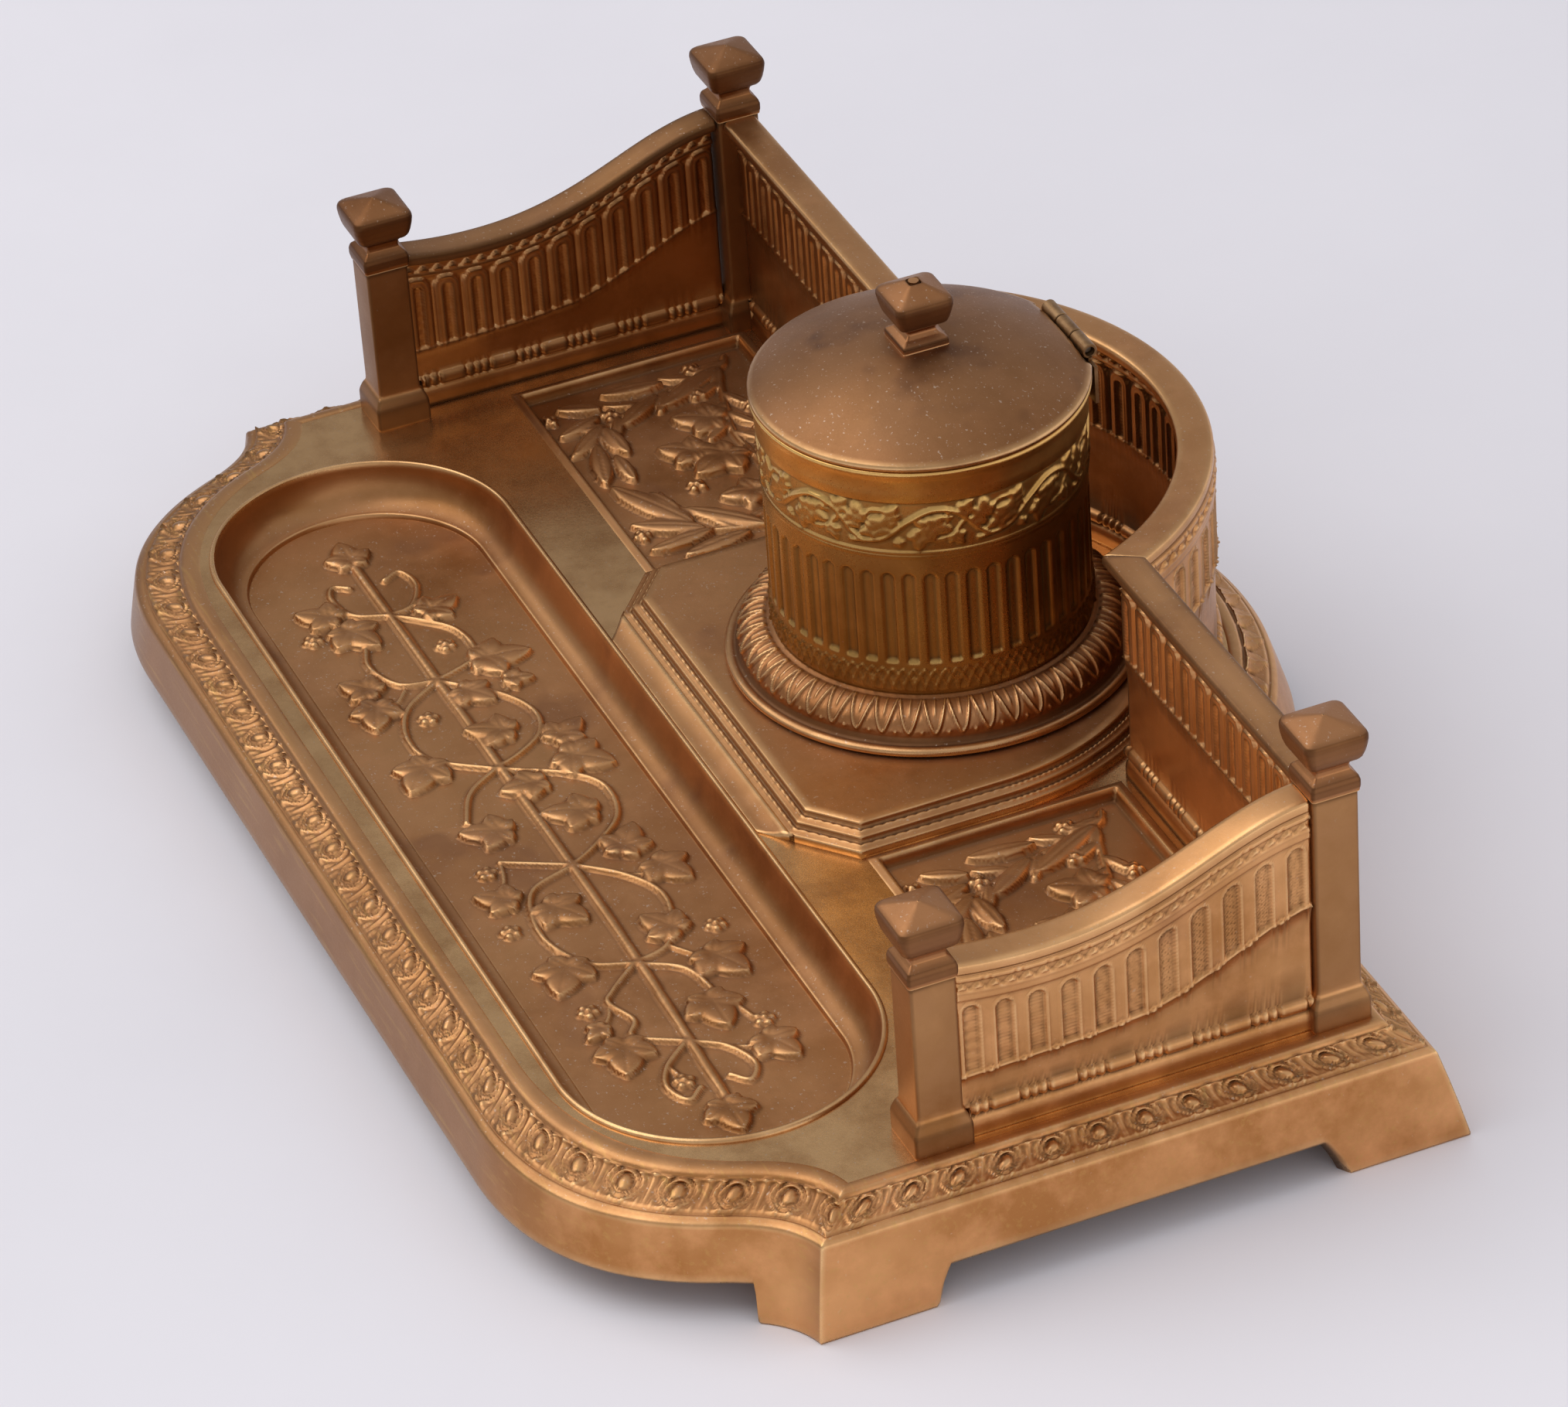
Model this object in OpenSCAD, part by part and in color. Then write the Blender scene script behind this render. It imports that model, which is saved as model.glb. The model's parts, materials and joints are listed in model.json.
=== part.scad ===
// Desk inkstand: a hollow footed base with a pen tray, a posted gallery round a
// raised platform, and a lidded inkwell with a loose liner. Units are millimetres.
// Each module is drawn with Y = 0 on the inkwell's axis and then moved by at_middle(),
// so that the origin is under the middle of the whole stand, on the table.

/* [Base] */
// Length over the feet
base_l = 300; // [280:1:360]
// Height of the deck above the table
deck_h = 24; // [21:0.5:32]
// Thickness of the deck casting
deck_t = 4; // [3.5:0.1:5]
// Thickness of the skirt
skirt_t = 3.2; // [2.5:0.1:4.5]
// Height of the edge moulding, from the plain skirt up to the deck
edge_h = 4.8; // [4.3:0.1:5.3]
// Height of the arches between the feet
arch_h = 8; // [5:0.5:11]
// How far a rear foot runs in from its corner
foot_l = 24; // [18:1:34]
// Distance from the feet's outer side to the deck's edge, at the ends
end_reach = 8.8; // [7:0.1:12]
// The same distance at the front
front_reach = 11.3; // [9:0.1:15]
// The same distance at the back
rear_reach = 12.4; // [9:0.1:15]
// Distance from the front of the base back to the front corners
corner_d = 41.4; // [38:0.1:50]

/* [Pen tray] */
// Width of the tray over its rim
tray_w = 61.6; // [50:0.2:70]
// Plain deck between the tray's end and the deck's end
tray_end = 20.8; // [18:0.1:40]
// Depth of the tray floor below the deck
tray_d = 9; // [6:0.5:12]
// Width of the hollow wall between the rim and the floor
tray_cove = 6.9; // [5:0.1:10]
// Small drop from the foot of that wall to the floor
tray_drop = 0.9; // [0.4:0.1:1.4]
// Thickness of the tray casting
tray_t = 2; // [1.5:0.1:3]
// Height of the rolled rim above the deck
tray_rim = 0.7; // [0.3:0.1:1.5]
// Plain deck between the tray and the front edge
front_band = 6.4; // [4:0.1:12]

/* [Platform] */
// Half width of the platform at its foot
plat_r = 52.6; // [50:0.1:53]
// Height of the platform above the deck
plat_h = 5; // [3:0.1:7]
// Width that each of its steps takes
plat_step = 2; // [1.2:0.1:2.4]
// Size of its front corner chamfers
plat_chamfer = 9.5; // [6:0.1:14]
// Distance from the inkwell's axis to the foot of the platform's front
plat_front = 48.2; // [46:0.1:52]
// Width of the sloping apron between the tray and the platform
apron_w = 4.5; // [3:0.1:8]

/* [Gallery] */
// Distance from the inkwell's axis back to the rear gallery line
gallery_back = 16.9; // [14:0.1:20]
// Distance between the front and rear posts
gallery_d = 77.4; // [68:0.1:84]
// Width of the post shafts
post_w = 8.8; // [7:0.1:10]
// Width of the post plinths
plinth_w = 11.4; // [10.5:0.1:12.5]
// Height of the post plinths
plinth_h = 6.5; // [5:0.1:9]
// Height of the front posts' shafts above the deck
front_post_h = 36.1; // [34:0.1:42]
// Height of the rear posts' shafts above the deck
rear_post_h = 49.3; // [47:0.1:60]
// Plain deck outside the plinths at the ends
end_lip = 2.1; // [1:0.1:4]
// Plain deck outside the plinths at the back
rear_lip = 1.4; // [1:0.1:4]
// Width of the rail on top of the gallery
rail_w = 7; // [6:0.1:8.5]
// Thickness of the rail
rail_t = 4; // [3:0.1:5]
// Thickness of the panels under the rail
panel_t = 3.3; // [3:0.1:4]
// Height of the base moulding under the panels
foot_mould_h = 7.2; // [5:0.1:9]
// How far the base moulding stands out of a panel
foot_mould_out = 0.8; // [0.4:0.1:1.2]
// Inner radius of the curved bay's rail
bay_r = 54.2; // [53.6:0.1:58]
// Distance from the inkwell's axis forward to the bay's centre
bay_fwd = 7.5; // [4:0.1:10]
// Open gap between a side panel and its rear post
panel_gap = 1.2; // [0.3:0.1:2]

/* [Floor plaques] */
// Depth of the ornamented floor plaques below the deck
plaque_d = 2; // [1:0.1:3]
// Plain deck between the platform and a plaque
plaque_inner = 1.4; // [1:0.1:4]
// Distance from the inkwell's axis to the front edge of the plaques
plaque_front = 36.5; // [30:0.1:40]
// Plain deck between a plaque and the rear gallery line
plaque_rear = 4; // [3.4:0.1:8]
// How far the tray's and plaques' flanges reach under the deck
flange_w = 5; // [4:0.1:5.4]
// Thickness of those flanges
flange_t = 2; // [1.5:0.1:2.5]

/* [Relief] */
// How far the leaves stand out of the ground of the tray and the plaques
leaf_rise = 1.1; // [0.9:0.1:1.3]
// How far the stems and the berries stand out of it
stem_rise = 0.8; // [0.5:0.1:0.8]
// Width of the stems
stem_w = 1.5; // [1.2:0.1:1.9]
// Width of the rod along the middle of the tray
scroll_rod_w = 2.2; // [1.6:0.1:2.6]
// Width of the bead that frames a plaque
frame_w = 1.7; // [1.2:0.1:2.2]
// Height of that bead above the deck
frame_rise = 0.4; // [0.2:0.1:0.8]

/* [Inkwell] */
// Outer radius of the well's body
well_r = 30.8; // [29:0.1:32]
// Wall thickness of the body
well_t = 2.8; // [2.6:0.1:3.2]
// Height of the body above its ring
well_h = 50.1; // [46:0.1:60]
// Outer radius of the leaf ring
ring_r = 40.2; // [38:0.1:42]
// Height of the leaf ring
ring_h = 8.3; // [6:0.1:10]
// How far the top of the body and the lid stand out of the body's side
rim_out = 1.4; // [1:0.1:2.2]
// Height of the plain band under the lid
band_h = 7.2; // [5:0.1:9]
// Wall of the liner
liner_t = 2.6; // [2:0.1:4]
// Height of the lid's dome
dome_h = 8.2; // [5:0.1:10]
// Thickness of the lid
lid_t = 2; // [1.6:0.1:2.4]
// Height of the lid's edge
lid_edge = 1.1; // [0.8:0.1:1.6]

/* [Finials] */
// Width of the post finials
finial_w = 12.1; // [11:0.1:13]
// Height of the post finials
finial_h = 16.3; // [14:0.1:20]
// Width of the lid finial
knob_w = 11; // [10:0.1:13]
// Height of the lid finial
knob_h = 12.8; // [11:0.1:16]

/* [Hinge] */
// Radius of the hinge barrel
barrel_r = 1.85; // [1.7:0.05:2.1]
// Length of the hinge barrel
barrel_l = 23.4; // [18:0.1:28]
// Radius of the hinge pin
pin_r = 0.95; // [0.7:0.05:1.05]
// Running clearance round the hinge pin
pin_gap = 0.04; // [0.02:0.01:0.08]
// Thickness of the hinge leaves
leaf_t = 1.2; // [0.9:0.1:1.5]
// Gap between hinge knuckles
knuckle_gap = 0.2; // [0.1:0.05:0.4]

/* [Fasteners] */
// Radius of the rods inside the posts
rod_r = 1.5; // [1.2:0.1:1.8]
// Radius of the short deck screws
screw_r = 1; // [0.8:0.1:1.2]
// Radius of the bolt through the inkwell
bolt_r = 2.5; // [2:0.1:3]
// Clearance round rods, screws and spigots
fit_gap = 0.1; // [0.05:0.01:0.2]
// Clearance between the lid and the body's rim
lid_gap = 0.2; // [0.1:0.05:0.4]

/* [Hidden] */
$fn = 96;
tiny = 0.01;                                   // overlap that keeps cuts clean
far = 400;                                     // longer than any cut needs

// Sides of the deck and the base's front
end_x = base_l / 2;
deck_x = end_x - end_reach;
tray_r = tray_w / 2;
tray_back_y = -(plat_front + apron_w);
tray_y = tray_back_y - tray_r;
deck_front_y = tray_back_y - tray_w - front_band;
base_front_y = deck_front_y - front_reach;
rail_half = rail_w / 2;
bay_deck_r = bay_r + rail_w + 4;               // the deck's bulge behind the bay
deck_rear_y = gallery_back + plinth_w / 2 + rear_lip;
under_z = deck_h - deck_t;
skirt_h = deck_h - edge_h;                     // top of the plain skirt

// One outline of the base: its end, front, front corner, back and bulge
foot_line = [end_x, base_front_y, base_front_y + corner_d, deck_rear_y + rear_reach,
    bay_deck_r + rear_reach];
deck_line = [deck_x, deck_front_y, base_front_y + corner_d + end_reach + 0.3, deck_rear_y,
    bay_deck_r];
skirt_share = [0.23, 0.25, 0.25, 0.45, 0.45];  // how far in each side of the skirt leans
skirt_line = [for (i = [0:4]) mix(foot_line[i], deck_line[i], skirt_share[i])];
// The front and the bulge are cut off above the table, and the stand's middle follows
arch_share = arch_h / skirt_h;
low_line = mix(foot_line, skirt_line, arch_share);
middle_y = (low_line[1] + low_line[4] - bay_fwd) / 2;
// Steps of the edge moulding: share of its height, share of its width
edge_steps = [[0, 0], [0.28, 0.12], [0.36, 0.32], [0.72, 0.72], [0.86, 1], [1, 1]];
curve_n = 8;                                   // segments in each curve of the outline
// Control points of the outline's front corner, given in from the end and forward of
// the corner: start of the curve and its two handles, the bend, and the ear's two handles
curve_run = 60;
pull_in = 30.5;
sweep_in = 19;
sweep_fwd = 24.5;
bend_in = 13.2;
bend_fwd = 12.2;
ear_in = 10;
ear_fwd = 6;
ear_end_in = 6.3;
ear_end_fwd = 1.5;
below = 2;                                     // the skirt is drawn on below the table, then cut
front_foot_l = 7.3;                            // how far a front foot runs forward of its corner
foot_back = 1.3;                               // a front foot is this much shorter than a rear one
edge_fillet = 0.5;                             // the deck's small step above its moulding
// Inside of the skirt, up to a ledge that holds the deck's edge
inner_foot = mix(foot_line, deck_line, skirt_t / end_reach);
inner_top = mix(skirt_line, deck_line, skirt_t / end_reach + 0.1);
ledge_line = drawn_in(deck_line, 1.7);

// Gallery places
post_x = deck_x - end_lip - plinth_w / 2;
front_post_y = gallery_back - gallery_d;
rail_z = deck_h + rear_post_h;                 // top of the rear rail
bay_mid_r = bay_r + rail_half;                 // middle of the bay's rail
plate_in = 0.3;                                // the panels sit outwards of the rail's middle
plate_out = panel_t - plate_in;
panel_front_y = front_post_y + post_w / 2 + fit_gap;
panel_rear_y = gallery_back - post_w / 2 - panel_gap;

// Steps of the finials from the foot up, as shares of height and of width:
// start, end, width at the start, width at the end
finial_base = 0.77;
post_steps = [[0, 0.1, finial_base, finial_base], [0.1, 0.17, 0.6, 0.6],
    [0.17, 0.26, 0.54, 0.54], [0.26, 0.35, 0.6, 0.79], [0.35, 0.47, 0.82, 0.95],
    [0.47, 0.62, 0.97, 1], [0.62, 0.76, 1, 0.96], [0.76, 0.82, 0.94, 0.84],
    [0.82, 0.9, 0.84, 0.54], [0.9, 1, 0.54, 0.1]];
knob_steps = [[0, 0.12, 0.86, 0.86], [0.12, 0.23, 0.72, 0.54], [0.23, 0.3, 0.52, 0.52],
    [0.3, 0.38, 0.6, 0.86], [0.38, 0.5, 0.9, 0.98], [0.5, 0.66, 1, 1], [0.66, 0.8, 1, 0.94],
    [0.8, 0.9, 0.9, 0.74], [0.9, 0.97, 0.74, 0.44], [0.97, 1, 0.4, 0.4]];
finial_corner = 0.61;                          // reach of their worn corners, as a share
side_over = 1.4;                               // a side rail's start over the front shaft
side_dip = 6.8;                                // pull of its curve below that start
side_ease = 1.9;                               // pull of its curve below the rear rail

// Plaque windows
plaque_x0 = plat_r + plaque_inner;
plaque_x1 = post_x - plinth_w / 2 - 0.7;
plaque_y0 = -plaque_front;
plaque_y1 = gallery_back - plaque_rear;
plaque_lip = 0.6;                              // the flange's narrow side, by the gallery
plaque_size = [plaque_x1 - plaque_x0, plaque_y1 - plaque_y0];

// Heights of the inkwell
plat_z = deck_h + plat_h;
ring_z = plat_z + ring_h;
rim_z = ring_z + well_h;
well_in = well_r - well_t;
rim_r = well_r + rim_out;                      // radius of the body's top and of the lid
spigot_r = well_in - 2;
floor_z = plat_z + 4;
floor_t = 3;
ledge_z = floor_z + floor_t + 3.5;
liner_r = well_in - 3 * fit_gap;
liner_top = rim_z - 2.5;
lid_z = rim_z + lid_gap;
lip_h = 1.5;
lip_r = well_in - 0.4;
dome_z = lid_z + lid_edge;
dome_sphere = (rim_r * rim_r + dome_h * dome_h) / (2 * dome_h);
knob_z = dome_z + dome_h - 0.4;                // the dome is flat under its finial
knob_seat = knob_w / 2 + 0.3;
rivet_r = 1;

// Hinge: the axis lies across the rim, so rim and lid have a flat for the barrel
hinge_z = rim_z + barrel_r + 0.15;
hinge_y = rim_r - 1.3;
flat_y = hinge_y - barrel_r - knuckle_gap;
knuckle_l = (barrel_l - 2 * knuckle_gap) / 3;
pin_l = barrel_l - 2.4;                        // the pin stops short, so the ends look hollow
leaf_h = 8;
leaf_reach = 3.4;

// Fasteners
nut_h = 3;
head_h = 1.6;
rod_z = under_z - nut_h - 1.2;
screw_z = under_z - flange_t;
front_rod_top = deck_h + front_post_h + finial_h * 0.6;
rear_rod_top = deck_h + rear_post_h + finial_h * 0.6;
bolt_head_h = 2.4;
washer_t = 1;
nut_w = 5.5;
bolt_nut_w = 8;
bolt_nut_h = 4;
panel_screw_y = [front_post_y + gallery_d * 0.22, front_post_y + gallery_d * 0.76];
bay_screw_out = 14;                            // from the bay's rail to the first rear screw
post_screw_in = 18;                            // from a rear post to the second one
rear_screw_x = [bay_mid_r + bay_screw_out, post_x - post_screw_in];
screw_end = 2;                                 // metal left over a screw's end
window_screw = 8;                              // from a plaque's corner to its nearest screw
bay_screw_a = [50, 90, 130];
flange_mid = flange_w / 2 + 0.3;               // screws run down the middle of a flange
tray_half_l = deck_x - tray_end;
tray_c = tray_half_l - tray_r;
tray_floor_r = tray_r - tray_cove;
tray_floor_z = deck_h - tray_d;

// Relief of the tray's floor, drawn from the middle of a floor with these half sizes and
// spread to the real one. Vines wave about a rod: each is a smooth line through points.
scroll_size = [113.5, 23.9];
scroll_fit = [(tray_c + tray_floor_r) / scroll_size[0], tray_floor_r / scroll_size[1]];
scroll_rod = [[-98, -0.6], [-40, 0], [40, 0.4], [98, -1.2]];
scroll_vines = [
    [[-76.8, -0.7], [-80.2, -6.9], [-87.1, -8.8], [-91.3, -7.3], [-89.7, -4.3]],
    [[-76.8, -0.7], [-78.1, 4.7], [-84.7, 8.1], [-90.5, 6.7], [-89.1, 3]],
    [[-51.1, -0.3], [-53.3, -7.3], [-61.4, -10.4], [-68.6, -8.6]],
    [[-76.8, -0.7], [-72.5, 4.3], [-65.5, 9.6], [-55.7, 9.4], [-51.1, -0.3]],
    [[-51.1, -0.3], [-44.5, -8.9], [-35.2, -12.4], [-26.3, -10.6], [-18, -0.9]],
    [[-51.1, -0.3], [-41.3, 9], [-32.9, 12.7], [-25.7, 11.2], [-18, -0.9]],
    [[-18, -0.9], [-12.6, -8.2], [-4, -12.3]],
    [[-18, -0.9], [-10.3, 10.7], [-3.1, 15.5], [6.9, 14], [13.8, 7], [18, 0.6]],
    [[18, 0.6], [15.5, -5], [10.9, -11.3]],
    [[18, 0.6], [21.9, -8.9], [30.4, -12.3], [39.2, -12.4], [47.8, -8.4], [51.8, -0.9]],
    [[18, 0.6], [24.7, 7.6], [32.9, 11.9], [41.3, 11], [49.3, 6.8], [51.8, -0.9]],
    [[51.8, -0.9], [57.6, -7.4], [67.6, -8.2], [77.8, -1.3]],
    [[51.8, -0.9], [57.3, 6.8], [66.2, 8.9], [71.3, 7.6]],
    [[77.8, -1.3], [83.1, -7.1], [88.7, -9.5], [93.9, -7.5], [91.5, -4.1]],
    [[77.8, -1.3], [82.3, 4.6], [89.3, 7.4], [93.5, 4.8], [90.6, 2]]];
// Each lobed leaf: x and y of its middle, bearing of its tip, distance out to the tip
scroll_leaves = [[-101.4, -0.8, 180, 5], [102.2, -2.1, 0, 5.4], [-83.1, -13.8, -126, 5.2],
    [-71.8, -8.3, 27, 6], [-75.3, 9.8, 111, 5], [-53, 14.5, 81, 6.4], [-44, 14.5, 70, 3.4],
    [-55.8, -15.1, -135, 4.9], [-44.7, -15.3, -21, 5.4], [-42.6, 5.1, 36, 4.9],
    [-30.5, 2.2, -118, 5.4], [-23.7, 16.4, 122, 4.9], [-12.5, 16.2, 47, 6.4],
    [-21.8, -15, -39, 6.2], [-10, 1.1, -93, 5], [1.8, 5.8, -112, 5.8], [0.6, -10.7, -111, 5.6],
    [14.8, 13, 145, 5.5], [21.3, -16.6, -126, 4.8], [28.3, 16.6, 29, 5.6], [31.6, -6, 34, 5.8],
    [42.6, 7.9, -146, 5.3], [59.5, 14.6, 27, 6.2], [50.4, -14.2, -30, 6.2],
    [68.5, -15.1, -60, 3], [77.8, -13.1, -19, 6], [72.4, 7.2, 2, 6], [87.3, 13.6, 25, 5.4]];
scroll_berries = [[-75.6, -17], [-61.9, 5.6], [-39.9, -6.3], [12.9, -14.7], [32.1, -17.5],
    [47.5, 17.2], [61.4, -13.8], [78.1, 13.9], [88.5, -6.1]];

// Relief of a plaque, drawn from its front corner with the lesser x
spray_size = [73, 49.4];
spray_fit = [plaque_size[0] / spray_size[0], plaque_size[1] / spray_size[1]];
spray_stems = [
    [[4, 44], [7.7, 41.1], [10.9, 28.3], [15.2, 16], [19.2, 10.4], [24.6, 7.9]],
    [[7.7, 41.1], [17, 38.2], [24.2, 36.3], [31.6, 34.7], [44, 35.1], [56, 33], [66, 26.5]],
    [[66, 26.5], [62, 16.4], [56.4, 11.9], [48.4, 8.6]]];
// Each long leaf: x and y of its foot, x and y of its tip
spray_long = [[7.9, 40.8, 16.1, 25.2], [11.6, 26.1, 18.9, 15.2], [17.4, 11.7, 24.4, 3],
    [11.1, 14.1, 6.9, 5.5], [13.6, 12.5, 17.1, 2.4], [18.2, 11.8, 29.2, 12.8],
    [23.4, 8, 37.6, 4.4], [28.7, 9.8, 38.9, 10], [59.1, 14.4, 39, 4.7], [53.9, 13.6, 44.6, 10.8],
    [66.3, 27.1, 53.3, 15], [61.8, 16, 53.8, 3], [63, 17, 64.1, 3], [67, 23.6, 68.8, 8.5],
    [7.9, 28.8, 6.1, 15.5]];
spray_lobed = [[23.6, 29.4, -118, 6.2], [33.2, 22, -125, 5.8], [40.4, 26.8, -62, 6.8],
    [53.4, 27, -100, 5.4], [58.6, 38.6, 30, 5]];
spray_berries = [[10, 2.8], [13.8, 14.7], [14.9, 33.6], [5.4, 36.1], [46.3, 20.4], [58.2, 3.6],
    [23.1, 41.6], [33.3, 39.6], [38.1, 38.4]];
berry_r = 1.7;                                 // of a whole cluster
relief_root = 0.5;                             // how deep the relief runs into its ground
// Outline of a lobed leaf about its foot: bearing and reach of each tip and notch
lobe_turn = [0, 27, 50, 82, 112, 180, 248, 278, 310, 333];
lobe_reach = [1.6, 0.8, 1.2, 0.65, 0.85, 0.3, 0.85, 0.65, 1.2, 0.8];
leaf_foot = 0.62;                              // from its middle back to its foot
// Half of a long leaf's outline, as shares of its length
blade_half = [[0.2, 0.09], [0.45, 0.15], [0.75, 0.11]];

brass = [0.72, 0.52, 0.32];
dark_brass = [0.55, 0.36, 0.2];
steel = [0.55, 0.53, 0.5];
porcelain = [0.92, 0.9, 0.84];

function mix(a, b, t) = a + (b - a) * t;
function bezier(p, t) = pow(1 - t, 3) * p[0] + 3 * pow(1 - t, 2) * t * p[1]
    + 3 * (1 - t) * t * t * p[2] + pow(t, 3) * p[3];
function curve(p, n) = [for (i = [0:n]) bezier(p, i / n)];

// A smooth line through points, and the outline of a ribbon laid along a line
function through(p, n) = let (last = len(p) - 1) concat([p[0]],
    [for (i = [1:last], t = [1:n])
        let (a = p[max(i - 2, 0)], b = p[i - 1], c = p[i], d = p[min(i + 1, last)])
        bezier([b, b + (c - a) / 6, c - (d - b) / 6, c], t / n)]);
function beside(l, by) = [for (i = [0:len(l) - 1])
    let (way = l[min(i + 1, len(l) - 1)] - l[max(i - 1, 0)])
    l[i] + by * [-way[1], way[0]] / norm(way)];
function ribbon(l, w) = let (far_side = beside(l, -w / 2)) concat(beside(l, w / 2),
    [for (i = [len(l) - 1:-1:0]) far_side[i]]);
function spread(p, fit) = [p[0] * fit[0], p[1] * fit[1]];

// An outline's sizes, drawn in towards the middle
function drawn_in(l, by) = [for (v = l) v - sign(v) * by];

// Right half of the base's outline, from the front round to the back
function half_line(l) = let (
        e = l[0], f = l[1], k = l[2], r = l[3], b = l[4],
        bend = [e - bend_in, k - bend_fwd],
        start = acos((r + bay_fwd) / b)
    ) concat(
        curve([[e - curve_run, f], [e - pull_in, f], [e - sweep_in, k - sweep_fwd], bend],
            curve_n),
        curve([bend, [e - ear_in, k - ear_fwd], [e - ear_end_in, k - ear_end_fwd], [e, k]],
            curve_n),
        [[e, r]],
        [for (i = [0:curve_n]) let (a = start * (1 - i / curve_n))
            [b * sin(a), b * cos(a) - bay_fwd]]
    );
function whole_line(l) = let (h = half_line(l), n = len(h)) concat(
    h, [for (i = [n - 2:-1:0]) [-h[i][0], h[i][1]]]);

// A solid through a list of outlines, each given with its height
module loft(levels) {
    rings = [for (l = levels) whole_line(l[1])];
    n = len(rings[0]);
    top = (len(levels) - 1) * n;
    points = [for (i = [0:len(levels) - 1]) for (p = rings[i]) [p[0], p[1], levels[i][0]]];
    sides = [for (j = [0:len(levels) - 2]) for (i = [0:n - 1])
        let (a = j * n + i, b = j * n + (i + 1) % n)
        each [[a, b + n, b], [a, a + n, b + n]]];
    caps = [[for (i = [0:n - 1]) i], [for (i = [n - 1:-1:0]) top + i]];
    polyhedron(points, concat(sides, caps), convexity = 8);
}

module at_middle() {
    translate([0, -middle_y, 0]) children();
}

module both_sides() {
    children();
    mirror([1, 0, 0]) children();
}

module up(z) {
    translate([0, 0, z]) children();
}

module block(x0, x1, y0, y1, z0, z1) {
    translate([x0, y0, z0]) cube([x1 - x0, y1 - y0, z1 - z0]);
}

// A square bar or taper on the axis, given by its widths
module square_taper(w0, w1, h) {
    rotate(45) cylinder(h = h, d1 = w0 * sqrt(2), d2 = w1 * sqrt(2), $fn = 4);
}

module square_bar(w, h) {
    translate([-w / 2, -w / 2, 0]) cube([w, w, h]);
}

module stadium(r) {
    for (s = [-1, 1]) translate([s * tray_c, tray_y]) circle(r);
    translate([-tray_c, tray_y - r]) square([2 * tray_c, 2 * r]);
}

// ---- relief -----------------------------------------------------------------

module vine(line, w, fit) polygon(ribbon(through([for (p = line) spread(p, fit)], 2), w));

module lobed_leaf(l, fit) translate(spread(l, fit)) rotate(l[2]) translate([-leaf_foot * l[3], 0])
    polygon([for (i = [0:len(lobe_turn) - 1])
        l[3] * lobe_reach[i] * [cos(lobe_turn[i]), sin(lobe_turn[i])]]);

module long_leaf(l, fit) {
    foot = spread(l, fit);
    way = spread([l[2], l[3]], fit) - foot;
    n = len(blade_half) - 1;
    half = norm(way) * blade_half;
    translate(foot) rotate(atan2(way[1], way[0]))
        polygon(concat([[0, 0]], half, [[norm(way), 0]], [for (i = [n:-1:0]) [half[i][0], -half[i][1]]]));
}

module berries(places, fit) {
    for (p = places) translate(spread(p, fit)) circle(berry_r);
}

// The vine scroll on the tray's floor
module scroll() translate([0, tray_y, tray_floor_z - relief_root]) {
    linear_extrude(relief_root + stem_rise) {
        vine(scroll_rod, scroll_rod_w, scroll_fit);
        for (v = scroll_vines) vine(v, stem_w, scroll_fit);
        berries(scroll_berries, scroll_fit);
    }
    linear_extrude(relief_root + leaf_rise) for (l = scroll_leaves) lobed_leaf(l, scroll_fit);
}

// The leafy spray of a plaque, which has its corner at this x
module spray(x) translate([x, plaque_y0, deck_h - plaque_d - relief_root]) {
    linear_extrude(relief_root + stem_rise) {
        for (v = spray_stems) vine(v, stem_w, spray_fit);
        berries(spray_berries, spray_fit);
    }
    linear_extrude(relief_root + leaf_rise) {
        for (l = spray_long) long_leaf(l, spray_fit);
        for (l = spray_lobed) lobed_leaf(l, spray_fit);
    }
}

// ---- base -------------------------------------------------------------------

// Plan of a plaque's window, grown by so much at its sides, its front and its back
module plaque_window(side, front, back) {
    translate([plaque_x0 - side, plaque_y0 - front])
        square(plaque_size + [2 * side, front + back]);
}

module post_places() {
    for (x = [-post_x, post_x], y = [front_post_y, gallery_back]) translate([x, y, 0]) children();
}

module panel_screw_places() {
    both_sides() {
        for (y = panel_screw_y) translate([post_x + (plate_out - plate_in) / 2, y, 0]) children();
        for (x = rear_screw_x) translate([x, gallery_back + (plate_out - plate_in) / 2, 0]) children();
    }
    for (a = bay_screw_a) translate([0, -bay_fwd, 0]) rotate(a)
        translate([bay_mid_r + (plate_out - plate_in) / 2, 0, 0]) children();
}

module flange_screw_places() {
    for (x = [-tray_c, 0, tray_c], s = [-1, 1])
        translate([x, tray_y + s * (tray_r + flange_mid), 0]) children();
    both_sides() {
        for (x = [plaque_x0 + window_screw, plaque_x1 - window_screw])
            translate([x, plaque_y0 - flange_mid, 0]) children();
        for (x = [plaque_x0 - flange_mid, plaque_x1 + flange_mid])
            translate([x, plaque_y1 - window_screw, 0]) children();
    }
}

// The arch between two feet, as a cutter with sloping ends
module arch(y0, y1) {
    rotate([90, 0, 90]) linear_extrude(far, center = true)
        polygon([[y0, -1], [y1, -1], [y1, 0], [y1 - 1.7, arch_h - 1], [y1 - 2.7, arch_h],
            [y0 + 2.7, arch_h], [y0 + 1.7, arch_h - 1], [y0, 0]]);
}

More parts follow.
